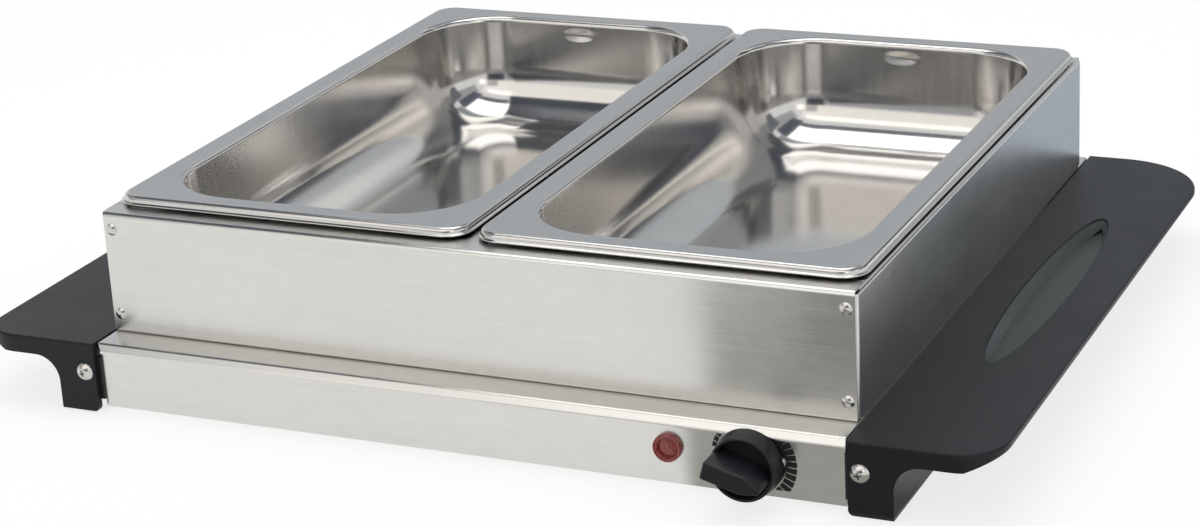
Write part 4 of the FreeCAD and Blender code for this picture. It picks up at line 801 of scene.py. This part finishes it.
def makeScrew(name):
    # a cross-head screw: low round head with a tapering cross slot, and a plain shank
    s = screwShape
    head = makeDome(name, s["radius"], s["dome"], s["rings"])
    mergeAndFaceOut(head, fixingWeld)
    for size in ((2 * s["arm"], s["slot"]), (s["slot"], 2 * s["arm"])):
        cutter = addBlock((size[0], size[1], 2 * s["deep"]), (0, 0, s["dome"]))
        startEdit(cutter, "FACE", facesDown)  # each arm narrows towards its bottom
        resize(s["slotTaper"], s["slotTaper"])
        endEdit()
        applyModifier(head, "BOOLEAN", operation="DIFFERENCE", object=cutter, solver="EXACT")
        bpy.data.objects.remove(cutter)
    shank = addCylinder(s["shankSides"], s["shank"], s["length"], -s["length"] / 2)
    screw = joinPieces([head, shank], name)
    shadeSmooth(screw, s["smoothAngle"])
    return screw


def placeCopies(model, name, places):
    # one mesh of turned and placed copies of a small fixing: (place, turn about Z from facing front, twist)
    copies = []
    for index, (place, facing, twist) in enumerate(places):
        twin = copyPiece(model, name + str(index))
        twin.rotation_euler = (0, 0, twist)
        bakePlace(twin)
        twin.rotation_euler = (math.pi / 2, 0, facing)
        twin.location = place
        copies.append(bakePlace(twin))
    bpy.data.objects.remove(model)
    return joinPieces(copies, name)


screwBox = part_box("grip_screws")
screwX = screwBox[1][0] - screwShape["radius"]
screwZ = halfway(screwBox, 2)
frontY, rearY = screwBox[0][1] + screwShape["dome"], screwBox[1][1] - screwShape["dome"]
twists = (0.35, 0.15, 0.6, 0.1)  # each cross stands as it was driven home
gripScrews = placeCopies(makeScrew("screw"), "gripScrews", [
    ((-screwX, frontY, screwZ), 0, twists[0]), ((screwX, frontY, screwZ), 0, twists[1]),
    ((-screwX, rearY, screwZ), math.pi, twists[2]), ((screwX, rearY, screwZ), math.pi, twists[3])])
dress(gripScrews, "fastener_steel")
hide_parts("grip_screws")
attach(gripScrews, "base")

rivetShape = {
    "flange": 0.0029, "dome": 0.0013, "rings": 9, "shank": 0.0016, "shankSides": 24, "length": 0.0026,
    "tail": 0.0025, "tailLength": 0.001, "tailTaper": 0.7, "smoothAngle": 40,
}


def makeRivet(name):
    # a blind rivet: low round head, plain shank, and the set tail behind
    s = rivetShape
    head = makeDome(name, s["flange"], s["dome"], s["rings"])
    mergeAndFaceOut(head, fixingWeld)
    shank = addCylinder(s["shankSides"], s["shank"], s["length"], -s["length"] / 2)
    startEdit(shank, "FACE", facesDown)
    extrude(0, 0, 0)
    widen = s["tail"] / s["shank"]
    resize(widen, widen)
    extrude(0, 0, -s["tailLength"])
    resize(s["tailTaper"], s["tailTaper"])
    endEdit()
    rivet = joinPieces([head, shank], name)
    shadeSmooth(rivet, s["smoothAngle"])
    return rivet


for node, name, facing in (("rack_front_rivets", "rackFrontRivets", 0),
                           ("rack_rear_rivets", "rackRearRivets", math.pi)):
    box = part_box(node)
    x = box[1][0] - rivetShape["flange"]
    low, high = box[0][2] + rivetShape["flange"], box[1][2] - rivetShape["flange"]
    seat = box[0][1] + rivetShape["dome"] if facing == 0 else box[1][1] - rivetShape["dome"]
    places = [((side * x, seat, z), facing, 0.0) for side in (-1, 1) for z in (low, high)]
    rivets = placeCopies(makeRivet("rivet"), name, places)
    dress(rivets, "fastener_steel")
    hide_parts(node)
    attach(rivets, "rack")
print("screws and rivets drawn")


studioFloor = {
    "size": 12, "place": (0, 2, -0.0002),
    "bounce": 0.8,  # grey that lights the object from below
    "shade": 0.28, "glow": 0.78,  # what the eye sees: near white that still takes a shadow
}
studioWorld = {"fill": 0.6, "seen": 1.0}  # the light of the room, and the white that the eye sees
white = (1, 1, 1, 1)


def seenRays(tree):
    # 1 for rays that show a thing to the eye, straight, mirrored or through plastic, else 0
    path = addNode(tree, "ShaderNodeLightPath")
    seen = addNode(tree, "ShaderNodeMath", {"operation": "MAXIMUM"},
                   {0: path.outputs["Is Camera Ray"], 1: path.outputs["Is Glossy Ray"]})
    seen = addNode(tree, "ShaderNodeMath", {"operation": "MAXIMUM"},
                   {0: seen.outputs[0], 1: path.outputs["Is Transmission Ray"]})
    return seen.outputs[0]


bpy.ops.object.select_all(action="DESELECT")
bpy.ops.mesh.primitive_plane_add(size=studioFloor["size"], location=studioFloor["place"])
floorPlane = bpy.context.active_object
floorPlane.name = "studioFloor"
bakePlace(floorPlane)
floorMaterial, tree = newMaterial("whiteStudioFloor")
bounce, shade = [[studioFloor[key]] * 3 + [1] for key in ("bounce", "shade")]
plain = addNode(tree, "ShaderNodeBsdfDiffuse", {"Color": bounce})
faint = addNode(tree, "ShaderNodeBsdfDiffuse", {"Color": shade})
glow = addNode(tree, "ShaderNodeEmission", {"Color": white, "Strength": studioFloor["glow"]})
both = addNode(tree, "ShaderNodeAddShader", links={0: faint.outputs[0], 1: glow.outputs[0]})
pick = addNode(tree, "ShaderNodeMixShader",
               links={0: seenRays(tree), 1: plain.outputs[0], 2: both.outputs[0]})
finishMaterial(tree, pick)
floorPlane.data.materials.append(floorMaterial)

world = bpy.data.worlds.new("whiteStudio")
bpy.context.scene.world = world
world.use_nodes = True
tree = world.node_tree
tree.nodes.clear()
fill = addNode(tree, "ShaderNodeBackground", {"Color": white, "Strength": studioWorld["fill"]})
clean = addNode(tree, "ShaderNodeBackground", {"Color": white, "Strength": studioWorld["seen"]})
pick = addNode(tree, "ShaderNodeMixShader",
               links={0: seenRays(tree), 1: fill.outputs[0], 2: clean.outputs[0]})
addNode(tree, "ShaderNodeOutputWorld", links={"Surface": pick.outputs[0]})


def aimFrom(place, aim, axis):
    # the turn that points an axis from a place to its aim
    return (Vector(aim) - Vector(place)).to_track_quat(axis, "Y").to_euler()


def addCard(name, place, aim, size, colour, level, softEdge):
    # a grey card, as used to shade bright metal: only reflections see it, and its edges fade out
    bpy.ops.mesh.primitive_plane_add(size=1, location=place)
    card = bpy.context.active_object
    card.name = name
    card.rotation_euler = aimFrom(place, aim, "Z")
    card.scale = (size[0], size[1], 1)
    material, tree = newMaterial(name + "Paint")
    within = addNode(tree, "ShaderNodeTexCoord").outputs["Object"]
    axes = addNode(tree, "ShaderNodeSeparateXYZ", links={0: within})
    fades = []
    for axis in (0, 1):
        outward = addNode(tree, "ShaderNodeMath", {"operation": "ABSOLUTE"}, {0: axes.outputs[axis]})
        fade = addNode(tree, "ShaderNodeMapRange",
                       {"interpolation_type": "SMOOTHSTEP", "From Min": 0.5,
                        "From Max": 0.5 * (1 - softEdge), "To Min": 0.0, "To Max": 1.0},
                       {"Value": outward.outputs[0]})
        fades.append(fade.outputs["Result"])
    cover = addNode(tree, "ShaderNodeMath", {"operation": "MULTIPLY"}, {0: fades[0], 1: fades[1]})
    clear = addNode(tree, "ShaderNodeBsdfTransparent")
    paint = addNode(tree, "ShaderNodeEmission", {"Color": linear(colour), "Strength": level})
    pick = addNode(tree, "ShaderNodeMixShader",
                   links={0: cover.outputs[0], 1: clear.outputs[0], 2: paint.outputs[0]})
    finishMaterial(tree, pick)
    card.data.materials.append(material)
    card.visible_camera = card.visible_diffuse = card.visible_shadow = card.visible_transmission = False
    return card


def aroundPlace(azimuth, elevation, distance):
    # a place round the object: azimuth 0 in front, 90 to the right
    az, el = math.radians(azimuth), math.radians(elevation)
    level = math.cos(el) * distance
    return (math.sin(az) * level, -math.cos(az) * level, math.sin(el) * distance)


middle = (0, 0, 0.06)
cards = {  # name: azimuth, elevation, distance, size, colour, level, soft edge; they face the middle
    "rearCard": (188, 16, 2.6, (3.9, 1.9), "eaf0f6", 0.7, 0.2),
    "rearRightCard": (139, 22, 2.0, (1.05, 0.72), "c8d4e4", 0.11, 0.15),
    "rightCard": (80, 41, 2.2, (2.0, 0.8), "f2f4f8", 0.55, 0.2),
    "rightRearCard": (112, 32, 1.9, (1.1, 0.9), "e0e8f2", 0.26, 0.2),
    "leftCard": (-95, 33, 2.0, (2.0, 0.9), "f4f6f8", 0.4, 0.2),
    "leftFrontCard": (-58, 25, 2.4, (1.55, 1.3), "f6f6f4", 0.55, 0.15),
    "frontCard": (-3, 12, 2.4, (2.2, 0.9), "eef0f4", 0.55, 0.3),
    "frontUpperCard": (16, 30, 2.4, (0.95, 0.62), "fcfaf6", 0.62, 0.4),
    "frontDarkCard": (10, 15, 2.0, (1.3, 0.7), "a8bcd8", 0.12, 0.28),
    "frontTopCard": (-3, 39, 2.8, (3.35, 1.6), "fffbf6", 1.3, 0.12),
    "frontTopGlow": (-3, 50, 2.5, (2.3, 0.5), "fffcf8", 1.85, 0.35),
    "frontRightCard": (37, 25, 2.5, (0.6, 0.58), "fff9f2", 2.1, 0.4),
}
for name, (azimuth, elevation, distance, size, colour, level, softEdge) in cards.items():
    addCard(name, aroundPlace(azimuth, elevation, distance), middle, size, colour, level, softEdge)

highCards = {  # name: place, size, colour, level, soft edge; they hang level and face down
    "leftBlackCard": ((-0.86, 0.12, 1.2), (0.6, 1.74), "b4c2d8", 0.15, 0.1),
    "rightBlackCard": ((0.78, -0.05, 1.2), (0.58, 1.2), "b4c2d8", 0.27, 0.2),
    "frontBlackCard": ((0.02, -0.365, 1.19), (1.3, 0.24), "c0cada", 0.32, 0.3),
    "rearTopCard": ((0.0, 0.95, 1.2), (1.5, 1.0), "e8eef6", 0.45, 0.2),
}
for name, (place, size, colour, level, softEdge) in highCards.items():
    addCard(name, place, (place[0], place[1], 0), size, colour, level, softEdge)

tableCards = {  # name: place, size, colour, level, soft edge, turn in degrees; they lie on the table face up
    "tableGreyCard": ((0.128, -0.335, 0.002), (0.17, 0.42), "e6e6e0", 0.5, 0.12, -24.5),
    "tableBlackCard": ((0.118, -0.385, 0.003), (0.12, 0.26), "e0e0dc", 0.18, 0.6, -24.5),
    "tableBlueCard": ((0.27, 0.42, 0.002), (0.24, 0.6), "dce8f8", 0.6, 0.3, None),
}
for name, (place, size, colour, level, softEdge, turn) in tableCards.items():
    card = addCard(name, place, (place[0], place[1], 1), size, colour, level, softEdge)
    if turn is not None:
        card.rotation_euler.z = math.radians(turn)


def addLamp(name, place, aim, size, level):
    # level is the brightness of the lamp's own face, where 1 is white
    bpy.ops.object.light_add(type="AREA", location=place)
    lamp = bpy.context.active_object
    lamp.name = name
    lamp.rotation_euler = aimFrom(place, aim, "-Z")
    lamp.data.shape = "RECTANGLE"
    lamp.data.size, lamp.data.size_y = size
    lamp.data.energy = math.pi * size[0] * size[1] * level


softbox = {"place": (-0.04, 0.09, 1.2), "aim": (-0.04, 0.09, 0), "size": (1.05, 0.66), "level": 1.75}
addLamp("overheadSoftbox", softbox["place"], softbox["aim"], softbox["size"], softbox["level"])

camera = {
    "target": Vector((-0.01286, 0.0087, 0.02283)), "distance": 1.42624,
    "azimuth": math.radians(25.09), "elevation": math.radians(20.27), "roll": math.radians(-3.21),
    "lens": 86.537, "sensor": 36, "nearest": 0.05,
}
bpy.ops.object.camera_add()
studioCamera = bpy.context.active_object
studioCamera.name = "studioCamera"
az, el, roll = camera["azimuth"], camera["elevation"], camera["roll"]
back = Vector((math.sin(az) * math.cos(el), -math.cos(az) * math.cos(el), math.sin(el)))
right = (-back).cross(Vector((0, 0, 1))).normalized()
up = right.cross(-back)
rolledRight = right * math.cos(roll) + up * math.sin(roll)
rolledUp = up * math.cos(roll) - right * math.sin(roll)
turn = Matrix((rolledRight, rolledUp, back)).transposed()
studioCamera.matrix_world = Matrix.Translation(camera["target"] + back * camera["distance"]) @ turn.to_4x4()
studioCamera.data.sensor_fit = "HORIZONTAL"
studioCamera.data.sensor_width = camera["sensor"]
studioCamera.data.lens = camera["lens"]
studioCamera.data.clip_start = camera["nearest"]
bpy.context.scene.camera = studioCamera
bpy.context.scene.view_settings.view_transform = "Standard"
print("studio set")
